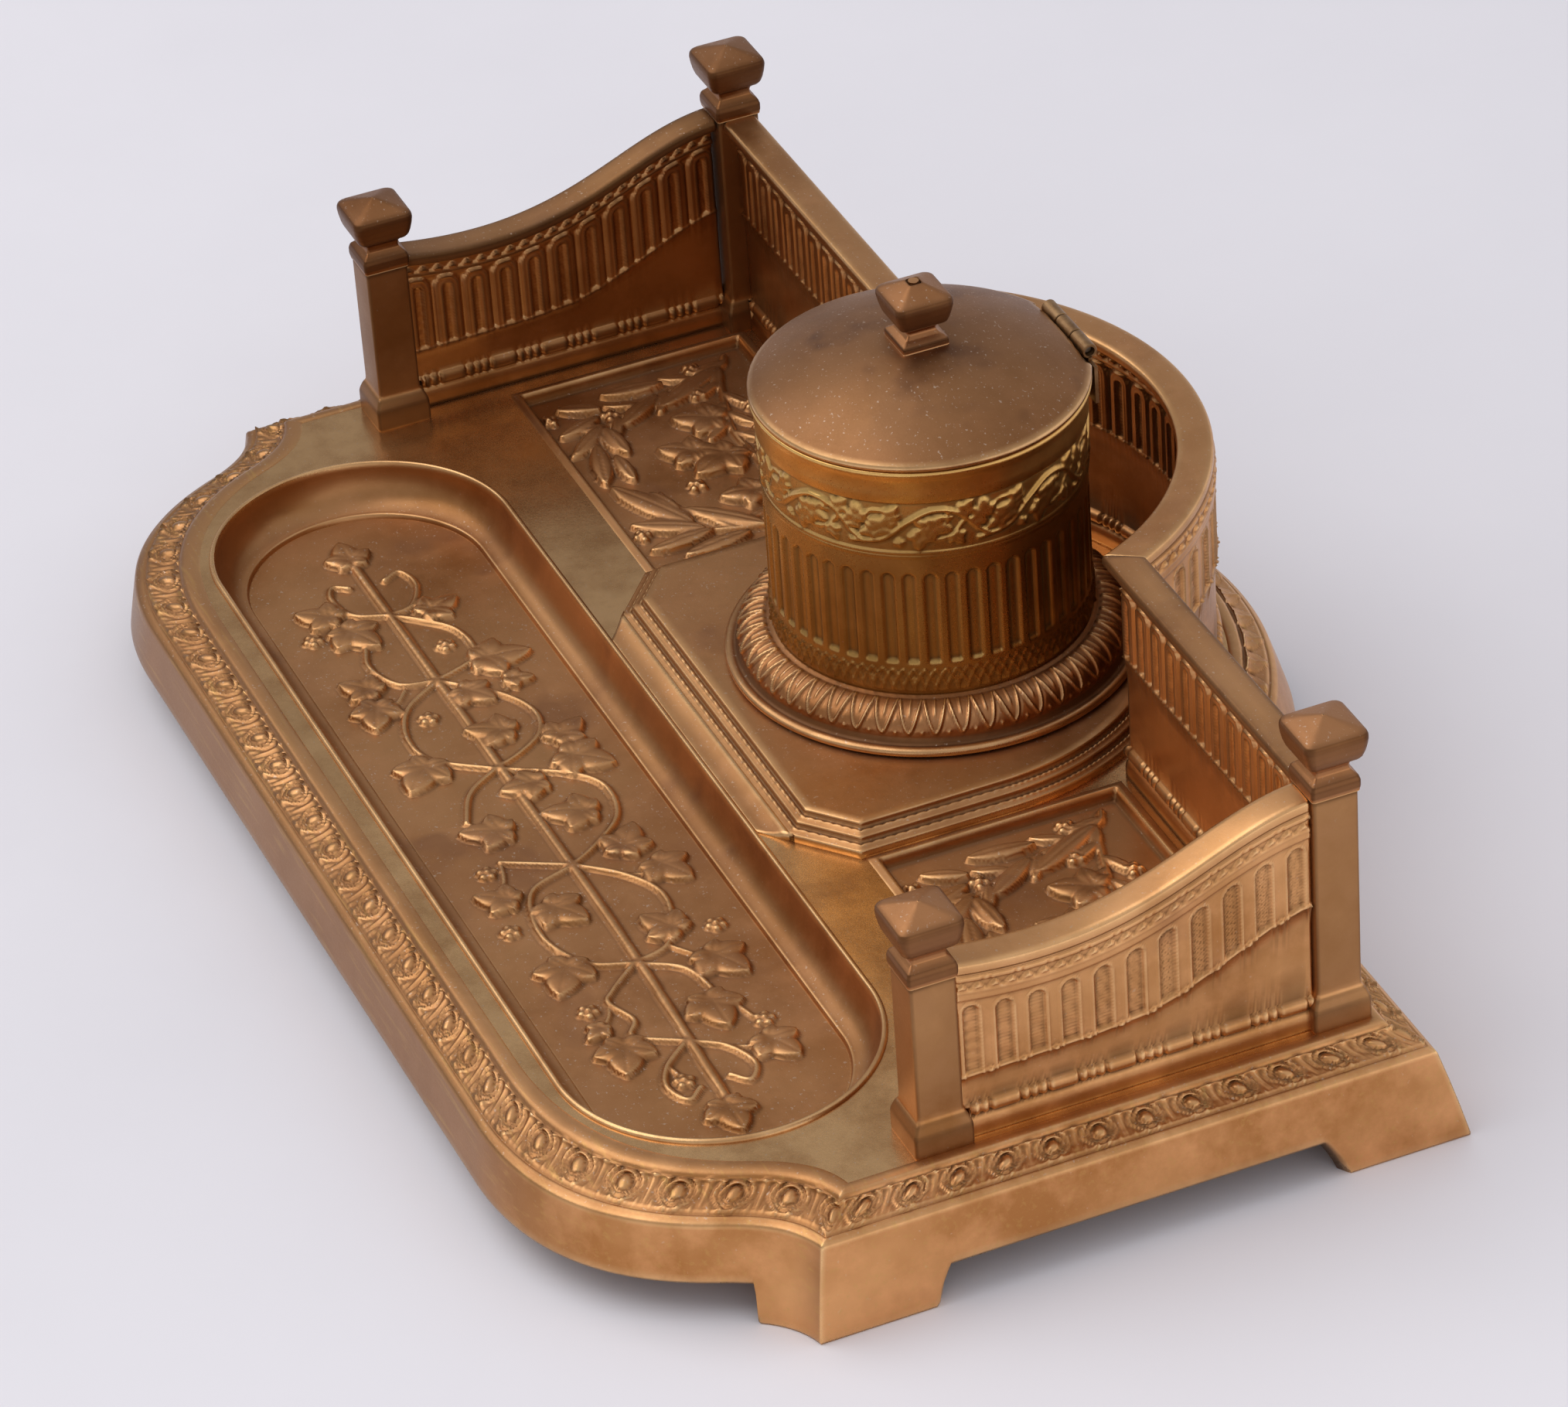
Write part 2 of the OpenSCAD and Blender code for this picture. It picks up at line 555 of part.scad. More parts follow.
// The flared skirt with its edge moulding, open above and below
module skirt() difference() {
    loft(concat(
        [[-below, mix(foot_line, skirt_line, -below / skirt_h)]],
        [for (s = edge_steps) [mix(skirt_h, deck_h - edge_fillet, s[0]),
            mix(skirt_line, deck_line, s[1])]],
        [[deck_h - 0.1, drawn_in(deck_line, 1.2)]]));
    loft([[-below - 1, inner_foot], [under_z + 0.3, inner_top],
        [under_z + 0.4, ledge_line], [deck_h + 1, ledge_line]]);
    block(-far, far, -far, far, -below - 1, 0);
    // arches at the ends, then the raised front and back
    arch(foot_line[2] + foot_l - foot_back, foot_line[3] - foot_l);
    block(-far, far, base_front_y - far, foot_line[2] - front_foot_l, -1, arch_h);
    block(foot_l - end_x, end_x - foot_l, deck_rear_y, far, -1, arch_h);
}

module deck_plan() difference() {
    polygon(whole_line(drawn_in(deck_line, edge_fillet)));
    stadium(tray_r + fit_gap);
    both_sides() plaque_window(0, 0, 0);
    post_places() circle(rod_r + fit_gap);
    panel_screw_places() circle(screw_r + fit_gap);
    circle(bolt_r + fit_gap);
}

module base_shell() color(brass) at_middle() difference() {
    union() {
        skirt();
        up(under_z) linear_extrude(deck_t) deck_plan();
    }
    flange_screw_places() up(under_z - 1) cylinder(h = deck_t - 0.2, r = screw_r + fit_gap);
}

// Half section of the tray: distance from its middle line, height
tray_section = let (
        rim_top = deck_h + tray_rim,
        lip = 1.1,
        drop_w = 0.4
    ) concat(
        [[0, tray_floor_z - tray_t], [tray_floor_r + 1, tray_floor_z - tray_t],
            [tray_r - 0.5, under_z - flange_t - 1.5], [tray_r - 0.5, under_z - flange_t],
            [tray_r + flange_w, under_z - flange_t],
            [tray_r + flange_w, under_z], [tray_r, under_z], [tray_r, rim_top - 0.4],
            [tray_r - 0.4, rim_top], [tray_r - lip, rim_top]],
        [for (i = [0:curve_n]) let (a = 90 * i / curve_n)
            [mix(tray_r - lip, tray_floor_r + drop_w, 1 - cos(a)),
                mix(rim_top - 0.5, tray_floor_z + tray_drop, sin(a))]],
        [[tray_floor_r, tray_floor_z], [0, tray_floor_z]]
    );

module pen_tray() color(brass) at_middle() difference() {
    union() {
        translate([0, tray_y, 0]) {
            for (s = [0, 180]) rotate(s - 90) translate([0, tray_c, 0])
                rotate_extrude(angle = 180) polygon(tray_section);
            for (s = [0, 1]) mirror([0, s, 0]) rotate([90, 0, 90])
                linear_extrude(2 * tray_c, center = true) polygon(tray_section);
        }
        scroll();
    }
    flange_screw_places() up(screw_z - 1) cylinder(h = flange_t + 2, r = screw_r + fit_gap);
}

module floor_plaque() difference() {
    up(under_z - flange_t) {
        linear_extrude(flange_t) plaque_window(flange_w, flange_w, plaque_lip);
        linear_extrude(flange_t + deck_t - plaque_d)
            plaque_window(-fit_gap, -fit_gap, -fit_gap);
        linear_extrude(flange_t + deck_t + frame_rise) difference() {
            plaque_window(-fit_gap, -fit_gap, -fit_gap);
            plaque_window(-frame_w, -frame_w, -frame_w);
        }
    }
    up(under_z - flange_t - 1) linear_extrude(1 + deck_t - plaque_d)
        plaque_window(-flange_w, -flange_w, -flange_w);
    flange_screw_places() up(screw_z - 1) cylinder(h = flange_t + 2, r = screw_r + fit_gap);
}
// Both sprays are alike, and the plates are mirrored
module floor_plaque_right() color(brass) at_middle() {
    floor_plaque();
    spray(plaque_x0);
}
module floor_plaque_left() color(brass) at_middle() {
    mirror([1, 0, 0]) floor_plaque();
    spray(-plaque_x1);
}

// ---- platform ---------------------------------------------------------------

module platform_line(inset) {
    r = plat_r - inset;
    f = plat_front - inset;
    c = plat_chamfer - inset / 2;
    intersection() {
        translate([0, -bay_fwd]) circle(r);
        translate([-far / 2, -bay_fwd]) square(far);
    }
    polygon([[-r, -bay_fwd], [-r, c - f], [c + 2 - r, -f], [r - c - 2, -f], [r, c - f],
        [r, -bay_fwd]]);
}

module well_platform() color(brass) at_middle() difference() {
    up(deck_h) {
        for (i = [0:2]) linear_extrude(plat_h * (i + 1) / 3) platform_line(i * plat_step);
        intersection() {
            rotate([90, 0, 90]) linear_extrude(far, center = true)
                polygon([[-plat_front - apron_w + 0.4, 0], [-plat_front - apron_w + 0.4, 0.6],
                    [-plat_front, plat_h / 3], [-plat_front + 1, plat_h / 3],
                    [-plat_front + 1, 0]]);
            linear_extrude(plat_h) polygon([for (p = [[-1, 1], [-1, 0], [1, 0], [1, 1]])
                [p[0] * (plat_r - plat_chamfer - 2 - p[1] * apron_w), -plat_front
                    + 1 - p[1] * (apron_w + 1)]]);
        }
    }
    up(deck_h - 1) cylinder(h = plat_h + 2, r = bolt_r + fit_gap);
}

// ---- gallery ----------------------------------------------------------------

module post(h) difference() {
    union() {
        square_bar(plinth_w, plinth_h - 1.4);
        up(plinth_h - 1.4) square_taper(plinth_w, post_w + 0.8, 1.4);
        square_bar(post_w, h);
    }
    up(-1) cylinder(h = h + 2, r = rod_r + fit_gap);
}

// Pillow block with worn corners, stacked from steps over a height h and a width w
module finial(w, h, steps) intersection() {
    union() {
        square_bar(w * 0.5, h * 0.82);         // a core that joins the steps
        for (s = steps) up(h * s[0])
            if (s[2] == s[3]) square_bar(w * s[2], h * (s[1] - s[0]));
            else square_taper(w * s[2], w * s[3], h * (s[1] - s[0]));
    }
    cylinder(h = h, r = w * finial_corner);
}

module post_finial() difference() {
    finial(finial_w, finial_h, post_steps);
    up(-1) cylinder(h = 1 + finial_h * 0.6 + 0.3, r = rod_r + fit_gap);
}

module at_post(sx, rear) {
    translate([sx * post_x, rear ? gallery_back : front_post_y, deck_h]) children();
}

module post_front_left() color(brass) at_middle() at_post(-1, false) post(front_post_h);
module post_front_right() color(brass) at_middle() at_post(1, false) post(front_post_h);
module post_rear_left() color(brass) at_middle() at_post(-1, true) post(rear_post_h);
module post_rear_right() color(brass) at_middle() at_post(1, true) post(rear_post_h);

module finial_front_left() color(brass) at_middle()
    at_post(-1, false) up(front_post_h) post_finial();
module finial_front_right() color(brass) at_middle()
    at_post(1, false) up(front_post_h) post_finial();
module finial_rear_left() color(brass) at_middle()
    at_post(-1, true) up(rear_post_h) post_finial();
module finial_rear_right() color(brass) at_middle()
    at_post(1, true) up(rear_post_h) post_finial();

// Room that the panels leave for the plinths
module plinth_rooms() post_places() up(deck_h - 1)
    square_bar(plinth_w + 2 * fit_gap, plinth_h + 1 + fit_gap);

// Top line of a side panel: level at the front post, a dip, then a rise to the rear
function side_top(drop) = let (
        y0 = panel_front_y, y1 = panel_rear_y, run = y1 - y0,
        z0 = deck_h + front_post_h + side_over - drop, z1 = rail_z - drop
    ) curve([[y0, z0], [y0 + run * 0.55, z0 - side_dip], [y0 + run * 0.7, z1 - side_ease],
        [y1, z1]], 2 * curve_n);

module side_slab(x0, x1, top_drop, bottom) {
    translate([x0, 0, 0]) rotate([90, 0, 90]) linear_extrude(x1 - x0)
        polygon(concat(side_top(top_drop),
            bottom ? [[panel_rear_y, deck_h], [panel_front_y, deck_h]]
                : [for (i = [2 * curve_n:-1:0]) side_top(top_drop + rail_t)[i]]));
}

module side_panel() difference() {
    union() {
        side_slab(post_x - plate_in, post_x + plate_out, rail_t / 2, true);
        side_slab(post_x - rail_half, post_x + rail_half, 0, false);
        block(post_x - plate_in - foot_mould_out, post_x + plate_out + foot_mould_out,
            panel_front_y, panel_rear_y, deck_h, deck_h + foot_mould_h);
    }
    panel_screw_places() up(deck_h - 1) cylinder(h = foot_mould_h, r = screw_r + fit_gap);
    plinth_rooms();
    translate([post_x, front_post_y, deck_h + front_post_h - fit_gap])
        square_bar(finial_w * finial_base + 2 * fit_gap, far);
}
module side_panel_right() color(brass) at_middle() side_panel();
module side_panel_left() color(brass) at_middle() mirror([1, 0, 0]) side_panel();

// Plan of the rear gallery between two offsets from the rail's middle line
module gallery_plan(a, b) {
    reach = post_x - post_w / 2 - fit_gap;
    difference() {
        union() {
            translate([-reach, gallery_back + a]) square([2 * reach, b - a]);
            translate([0, -bay_fwd]) circle(bay_mid_r + b);
        }
        translate([0, -bay_fwd]) circle(bay_mid_r + a);
        translate([-far / 2, gallery_back + a - far]) square(far);
    }
}

// Base moulding, plate and rail share the three bands of height
module gallery_bands() {
    up(deck_h) linear_extrude(foot_mould_h) children(0);
    up(deck_h) linear_extrude(rear_post_h - rail_t / 2) children(1);
    up(rail_z - rail_t) linear_extrude(rail_t) children(2);
}

module rear_gallery() color(brass) at_middle() difference() {
    gallery_bands() {
        gallery_plan(-plate_in - foot_mould_out, plate_out + foot_mould_out);
        gallery_plan(-plate_in, plate_out);
        gallery_plan(-rail_half, rail_half);
    }
    panel_screw_places() up(deck_h - 1) cylinder(h = foot_mould_h, r = screw_r + fit_gap);
    plinth_rooms();
}

// ---- inkwell ----------------------------------------------------------------

module well_ring() color(brass) at_middle() rotate_extrude() polygon(concat(
    [[spigot_r + fit_gap, plat_z], [ring_r, plat_z], [ring_r, plat_z + 1.2],
        [ring_r - 0.9, plat_z + 2.4], [ring_r - 2.4, plat_z + 2.8]],
    [for (i = [0:curve_n]) let (a = 90 * i / curve_n)
        [mix(well_r + 0.7, ring_r - 3, cos(a)), mix(plat_z + 2.8, ring_z, sin(a))]],
    [[spigot_r + fit_gap, ring_z]]));

module well_body() color(brass) at_middle() difference() {
    rotate_extrude() polygon([
        [0, floor_z], [spigot_r, floor_z], [spigot_r, ring_z], [well_r, ring_z],
        [well_r, rim_z - band_h], [well_r + 0.5, rim_z - band_h], [rim_r, rim_z - 1],
        [rim_r, rim_z], [well_in, rim_z], [well_in, ledge_z], [spigot_r - 2, ledge_z],
        [spigot_r - 2, floor_z + floor_t], [0, floor_z + floor_t]]);
    up(floor_z - 1) cylinder(h = floor_t + 2, r = bolt_r + fit_gap);
    // slot for the hinge leaf
    block(-barrel_l / 2 - fit_gap, barrel_l / 2 + fit_gap, hinge_y - leaf_t / 2 - fit_gap,
        far, rim_z - leaf_h - fit_gap, rim_z + 1);
}

module well_liner() color(porcelain) at_middle() rotate_extrude() polygon([
    [0, ledge_z], [liner_r - 1, ledge_z], [liner_r - 0.4, ledge_z + 0.6],
    [liner_r - 0.4, liner_top - 3], [liner_r, liner_top - 2.4], [liner_r, liner_top],
    [liner_r - liner_t, liner_top], [liner_r - liner_t - 0.4, liner_top - 4],
    [liner_r - liner_t - 0.4, ledge_z + liner_t + 3], [liner_r - liner_t - 3.4, ledge_z + liner_t],
    [0, ledge_z + liner_t]]);

// Height of the dome's outside at a radius
function dome_at(r) = dome_z + dome_h - dome_sphere + sqrt(pow(dome_sphere, 2) - r * r);

module lid() color(brass) at_middle() difference() {
    rotate_extrude() polygon(concat(
        [[lip_r - 2, lid_z - lip_h], [lip_r, lid_z - lip_h], [lip_r, lid_z],
            [rim_r, lid_z]],
        [for (i = [0:curve_n]) let (r = mix(rim_r, knob_seat, i / curve_n))
            [r, min(dome_at(r), knob_z)]],
        [[0, knob_z], [0, knob_z - lid_t]],
        [for (i = [curve_n:-1:0]) let (r = mix(lip_r - 2, knob_seat, i / curve_n))
            [r, min(dome_at(r), knob_z) - lid_t]]));
    up(lid_z) cylinder(h = knob_z, r = rivet_r + fit_gap);
    // flat for the hinge barrel and slot for the lid's leaf
    block(-barrel_l / 2 - knuckle_gap, barrel_l / 2 + knuckle_gap, flat_y, far,
        lid_z - lip_h - 1, knob_z);
    block(-knuckle_l / 2, knuckle_l / 2, flat_y - leaf_reach, flat_y + 1,
        lid_z - lip_h - 1, lid_z + leaf_t);
}

module lid_finial() color(brass) at_middle() difference() {
    up(knob_z) finial(knob_w, knob_h, knob_steps);
    up(knob_z - 1) cylinder(h = knob_h + 2, r = rivet_r + fit_gap);
}

module finial_rivet() color(dark_brass) at_middle() {
    up(knob_z - lid_t - 0.8) cylinder(h = 0.8, r = rivet_r + 1);
    up(knob_z - lid_t - tiny) cylinder(h = lid_t + knob_h - 0.1, r = rivet_r);
}

// ---- hinge ------------------------------------------------------------------

module knuckle(x0, l) {
    translate([x0, hinge_y, hinge_z]) rotate([0, 90, 0]) cylinder(h = l, r = barrel_r);
}

module pin_bore() {
    translate([0, hinge_y, hinge_z]) rotate([0, 90, 0])
        cylinder(h = barrel_l + 2, r = pin_r + pin_gap, center = true);
}

module hinge_body_leaf() color(dark_brass) at_middle() difference() {
    union() {
        knuckle(-barrel_l / 2, knuckle_l);
        knuckle(barrel_l / 2 - knuckle_l, knuckle_l);
        block(-barrel_l / 2, barrel_l / 2, hinge_y - leaf_t / 2, hinge_y + leaf_t / 2,
            rim_z - leaf_h, rim_z);
        both_sides() block(barrel_l / 2 - knuckle_l, barrel_l / 2, hinge_y - leaf_t / 2,
            hinge_y + leaf_t / 2, rim_z - tiny, hinge_z);
    }
    pin_bore();
}

module hinge_lid_leaf() color(dark_brass) at_middle() difference() {
    union() {
        knuckle(-knuckle_l / 2, knuckle_l);
        block(-knuckle_l / 2 + fit_gap, knuckle_l / 2 - fit_gap, flat_y - leaf_reach + fit_gap,
            hinge_y, lid_z, lid_z + leaf_t);
    }
    pin_bore();
}

module hinge_pin() color(steel) at_middle() translate([0, hinge_y, hinge_z])
    rotate([0, 90, 0]) cylinder(h = pin_l, r = pin_r, center = true);

// ---- fasteners --------------------------------------------------------------

module hex_nut(w, h, bore) difference() {
    cylinder(h = h, d = w / cos(30), $fn = 6);
    up(-1) cylinder(h = h + 2, r = bore);
}

module rod_pair(y, top) both_sides()
    translate([post_x, y, rod_z]) cylinder(h = top - rod_z, r = rod_r);

module rods_front() color(steel) at_middle() rod_pair(front_post_y, front_rod_top);
module rods_rear() color(steel) at_middle() rod_pair(gallery_back, rear_rod_top);

module post_nuts() color(steel) at_middle() post_places()
    up(under_z - nut_h) hex_nut(nut_w, nut_h, rod_r + fit_gap);

module panel_screws() color(steel) at_middle() panel_screw_places() {
    up(under_z - head_h) cylinder(h = head_h, r = screw_r * 2);
    up(under_z - tiny) cylinder(h = deck_t + foot_mould_h - screw_end, r = screw_r);
}

module flange_screws() color(steel) at_middle() flange_screw_places() {
    up(screw_z - head_h) cylinder(h = head_h, r = screw_r * 2);
    up(screw_z - tiny) cylinder(h = flange_t + deck_t - 1.6, r = screw_r);
}

module well_bolt() color(steel) at_middle() {
    up(floor_z + floor_t) cylinder(h = bolt_head_h, r = bolt_r * 1.8);
    up(under_z - washer_t - bolt_nut_h - 1)
        cylinder(h = floor_z + floor_t - under_z + washer_t + bolt_nut_h + 1 + tiny, r = bolt_r);
}

module well_washer() color(steel) at_middle() up(under_z - washer_t) difference() {
    cylinder(h = washer_t, r = bolt_r * 3);
    up(-1) cylinder(h = washer_t + 2, r = bolt_r + fit_gap);
}

module well_nut() color(steel) at_middle() up(under_z - washer_t - bolt_nut_h)
    hex_nut(bolt_nut_w, bolt_nut_h, bolt_r + fit_gap);

base_shell();
pen_tray();
well_platform();
floor_plaque_left();
floor_plaque_right();
post_front_left();
post_front_right();
post_rear_left();
post_rear_right();
finial_front_left();
finial_front_right();
finial_rear_left();
finial_rear_right();
side_panel_left();
side_panel_right();
rear_gallery();
well_ring();
well_body();
well_liner();
lid();
lid_finial();
finial_rivet();
hinge_body_leaf();
hinge_lid_leaf();
hinge_pin();
rods_front();
rods_rear();
post_nuts();
panel_screws();
flange_screws();
well_bolt();
well_washer();
well_nut();
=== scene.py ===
import json
import math
import bmesh
import bpy
import numpy as np
from mathutils import Matrix, Vector

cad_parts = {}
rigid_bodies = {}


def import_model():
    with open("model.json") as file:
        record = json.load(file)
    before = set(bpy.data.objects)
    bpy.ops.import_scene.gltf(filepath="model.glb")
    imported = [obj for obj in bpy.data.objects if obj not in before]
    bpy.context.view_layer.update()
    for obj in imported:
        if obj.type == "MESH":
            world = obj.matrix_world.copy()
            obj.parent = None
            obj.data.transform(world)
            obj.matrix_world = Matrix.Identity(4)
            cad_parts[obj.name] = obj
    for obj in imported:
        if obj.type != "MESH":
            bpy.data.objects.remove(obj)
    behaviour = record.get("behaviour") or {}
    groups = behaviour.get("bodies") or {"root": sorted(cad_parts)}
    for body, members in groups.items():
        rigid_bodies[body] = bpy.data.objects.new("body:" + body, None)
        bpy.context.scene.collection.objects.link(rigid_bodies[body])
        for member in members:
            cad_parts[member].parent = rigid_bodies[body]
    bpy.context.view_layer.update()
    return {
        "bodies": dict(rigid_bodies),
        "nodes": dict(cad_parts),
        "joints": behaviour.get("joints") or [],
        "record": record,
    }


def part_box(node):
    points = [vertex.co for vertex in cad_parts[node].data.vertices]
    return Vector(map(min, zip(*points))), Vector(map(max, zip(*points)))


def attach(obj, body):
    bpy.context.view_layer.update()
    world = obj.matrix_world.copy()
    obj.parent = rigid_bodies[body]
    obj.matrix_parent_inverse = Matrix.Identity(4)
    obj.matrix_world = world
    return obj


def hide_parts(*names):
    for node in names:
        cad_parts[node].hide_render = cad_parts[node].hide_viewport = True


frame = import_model()

# Lengths are in millimetres, measured from the inkwell's axis, until place() turns them
# into metres in the stand's own frame.
MM = 1000.0


def middle(node):
    lo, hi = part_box(node)
    return (lo + hi) / 2 * MM


def low(node, axis):
    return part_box(node)[0][axis] * MM


def high(node, axis):
    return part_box(node)[1][axis] * MM


AXIS_Y = middle("well_ring").y

# Base
DECK = low("post_front_left", 2)
SKIRT_TOP = 19.2
ARCH = 8.0  # height of the skirt's arches
END = high("base_shell", 0)
# Places of the end, front, corner, back and bulge: at the foot and at the deck's edge
FOOT = np.array([END, -132.0, -90.6, 36.4, 77.6])
DECK_LINE = np.array([141.2, -120.7, -81.5, 24.0, 65.2])
LEAN = np.array([0.23, 0.25, 0.25, 0.45, 0.45])  # the skirt's top as a share between
BAY_FWD = 7.5  # from the bay's middle back to the axis
FRONT_FOOT, REAR_FOOT = 22.7, 24.0  # lengths of the feet
ARCH_RUN = 2.7  # run of an arch's curve at each foot
ARCH_ENDS = np.array([FOOT[2] + FRONT_FOOT, FOOT[2] + FRONT_FOOT + ARCH_RUN,
                      FOOT[3] - REAR_FOOT - ARCH_RUN, FOOT[3] - REAR_FOOT])

# Pen tray: two half circles, so far either side of its middle
TRAY_R = 30.8
TRAY_C = 89.6
TRAY_Y = -83.5
TRAY_FLOOR = DECK - 9
FLOOR_R = 23.9

# Platform, gallery and posts
PLAT_R = 52.6
PLAT_FRONT = 48.2
PLAT_CHAMFER = 9.5
PLAT_TOP = low("well_ring", 2)
POST_X = middle("post_front_right").x
FRONT_POST_Y = middle("post_front_right").y - AXIS_Y
BACK_POST_Y = middle("post_rear_right").y - AXIS_Y
PLINTH = high("post_front_right", 0) - POST_X
SHAFT = 4.4  # half of a post's width
FRONT_TOP = high("post_front_right", 2)
BACK_TOP = high("post_rear_right", 2)
RAIL_HALF = 3.5
RAIL_T = 2.2
PLATE_OUT = 3.0  # outer and inner face of a wall's plate
PLATE_IN = -0.3
BAY_R = 57.7  # middle of the bay's rail
SIDE_GAP = 0.4  # from a side panel to its rear post
PLINTH_GAP = 0.12
OVER_PLINTH = DECK + 6.6  # foot of a wall where it passes a plinth
FIT = 0.1  # from a wall's end to its post

# Inkwell
RING_TOP = high("well_ring", 2)
RIM_TOP = high("well_body", 2)
WELL_R = 30.8
RIM_R = 32.2
WELL_IN = 28.0
LEDGE = 39.5  # what the liner stands on
FRIEZE_FOOT = 69.6
FRIEZE_H = 10.4
FRIEZE_DEPTH = 0.55
WELL_FLAT = 30.2  # distance of the hinge's flats, and half their width
LID_FLAT = 28.85
FLAT_HALF = 11.8
FLAT_DEEP = 8.1  # how far down from the rim the inkwell's goes


# ---- scene ---------------------------------------------------------------------

def place(p):
    """Millimetres from the inkwell's axis to metres in the stand's frame."""
    return (np.asarray(p, float) + [0, AXIS_Y, 0]) / MM


def add_object(name, data):
    piece = bpy.data.objects.new(name, data)
    bpy.context.scene.collection.objects.link(piece)
    return piece


def make_camera():
    """The photograph's view, from a camera fitted to the stand's right angles and circles."""
    camera = bpy.data.cameras.new("camera")
    camera.lens = 163.834
    camera.sensor_width = 36
    camera.clip_end = 20
    right = (0.39306779, 0.91748667, -0.06095843)
    up = (-0.5042432, 0.27051471, 0.82009791)
    back = (0.76891905, -0.2916162, 0.56896703)
    turn = Matrix((right, up, back)).transposed().to_4x4()
    turn.translation = (1.043275, -0.395812, 0.796285)
    piece = add_object("camera", camera)
    piece.matrix_world = turn
    bpy.context.scene.camera = piece


AIM = Vector((0, 0, 0.04))  # where the lamps point


def area_light(name, where, size, power, colour):
    light = bpy.data.lights.new(name, "AREA")
    light.shape = "RECTANGLE"
    light.size, light.size_y = size
    light.energy = power
    light.color = colour
    piece = add_object(name, light)
    piece.location = where
    piece.rotation_mode = "QUATERNION"
    piece.rotation_quaternion = (AIM - piece.location).to_track_quat("-Z", "Y")


class Nodes:
    """Short ways to add linked shader nodes to a material or world."""

    def __init__(self, owner):
        owner.use_nodes = True
        self.tree = owner.node_tree
        self.tree.nodes.clear()

    def add(self, kind, inputs=None, **values):
        node = self.tree.nodes.new(kind)
        for key, value in values.items():
            setattr(node, key, value)
        for key, value in (inputs or {}).items():
            if isinstance(value, bpy.types.NodeSocket):
                self.tree.links.new(value, node.inputs[key])
            else:
                node.inputs[key].default_value = value
        return node

    def place(self):
        return self.add("ShaderNodeTexCoord").outputs["Object"]

    def parts(self, vector):
        return self.add("ShaderNodeSeparateXYZ", {0: vector}).outputs

    def mark(self, name):
        return self.add("ShaderNodeAttribute", attribute_name=name).outputs["Fac"]

    def noise(self, where, scale, detail=4.0, rough=0.55):
        inputs = {"Vector": where, "Scale": scale, "Detail": detail, "Roughness": rough}
        return self.add("ShaderNodeTexNoise", inputs).outputs["Fac"]

    def span(self, value, a, b, c=0.0, d=1.0):
        """c where the value is a, d where it is b, and even between."""
        inputs = {"Value": value, "From Min": a, "From Max": b, "To Min": c, "To Max": d}
        return self.add("ShaderNodeMapRange", inputs, clamp=True).outputs[0]

    def maths(self, kind, a, b):
        return self.add("ShaderNodeMath", {0: a, 1: b}, operation=kind).outputs[0]

    def times(self, a, b):
        return self.maths("MULTIPLY", a, b)

    def plus(self, a, b):
        return self.maths("ADD", a, b)

    def less(self, a, b):
        return self.maths("SUBTRACT", a, b)

    def blend(self, share, a, b, kind="MIX"):
        inputs = {0: share, 6: a, 7: b}
        return self.add("ShaderNodeMix", inputs, data_type="RGBA", blend_type=kind).outputs[2]

    def surface(self, height, strength, depth, inputs):
        """Ends a material with its shader, and a bump from a height."""
        bump = {"Height": height, "Strength": strength, "Distance": depth}
        normal = self.add("ShaderNodeBump", bump).outputs[0]
        shader = self.add("ShaderNodeBsdfPrincipled", {**inputs, "Normal": normal})
        self.add("ShaderNodeOutputMaterial", {"Surface": shader.outputs[0]})


def tone(colour, shares=(1, 1, 1)):
    """A colour given as 0-255 screen values, shaded by a share of each, made linear."""
    return tuple((v * share / 255) ** 2.2 for v, share in zip(colour, shares)) + (1.0,)


BRASS = (204, 151, 100)  # gilt, and where it is rubbed or dirty, the hollows' grime also standing in for their shade
WORN = (222, 178, 126)
GRIME_AND_SHADE = (58, 33, 17)
DUST = (152, 114, 84)
SPECK = (205, 178, 150)
GRAIN = (205, 186, 168)
STREAK = (205, 164, 96)
# painted shade and painted highlight: shares that darken the left end and brighten the right end,
# and that shade the band below the rim and light the rim
SHADED_END, LIT_END = (0.78, 0.76, 0.74, 1), (1.16, 1.16, 1.16, 1)
SHADED_BELOW_RIM, LIT_AT_RIM = (0.84, 0.8, 0.78, 1), (1.3, 1.28, 1.25, 1)


def gilding(n, where, base, stain, noises):
    """Colour of the gilding, with paler clouds, stains and specks."""
    broad, cloud, speck = noises
    colour = n.blend(n.span(broad, 0.4, 0.64), tone(base), tone(base, (0.82, 0.76, 0.68)))
    pale = tone(base, (1.08, 1.07, 1.1))
    colour = n.blend(n.span(cloud, 0.45, 0.72, 0, 0.6), colour, pale)
    patch = n.noise(where, 46, 3, 0.5)
    spots = n.times(n.span(patch, 0.66 - 0.12 * stain, 0.74 - 0.1 * stain, 0, stain),
                    n.span(cloud, 0.38, 0.58))
    colour = n.blend(spots, colour, tone(base, (0.66, 0.6, 0.62)))
    return n.blend(n.span(speck, 0.68, 0.76, 0, 0.4), colour, tone(SPECK))


def wear_shares(n, where, up, cloud, wear, deep, dusty):
    """How rubbed an edge is, how dirty a hollow, with its painted shade, and how dusty what faces
    up.
    """
    rubbed = n.times(n.span(n.mark("edge"), 0.1, 0.6, 0, wear), n.span(cloud, 0.3, 0.6, 0.4, 1))
    # grime in the hollows, which also paints the shade there
    grime_and_shade = n.times(n.span(n.mark("hollow"), 0.06, 0.5, 0, deep),
                    n.span(cloud, 0.25, 0.6, 0.75, 1))
    film = n.span(n.noise(where, 38, 5, 0.6), 0.3, 0.62, 0.15, 1)
    dust = n.times(n.times(n.span(up, 0.6, 0.97, 0, dusty), film), n.span(rubbed, 0, 0.5, 1, 0.3))
    return rubbed, grime_and_shade, dust


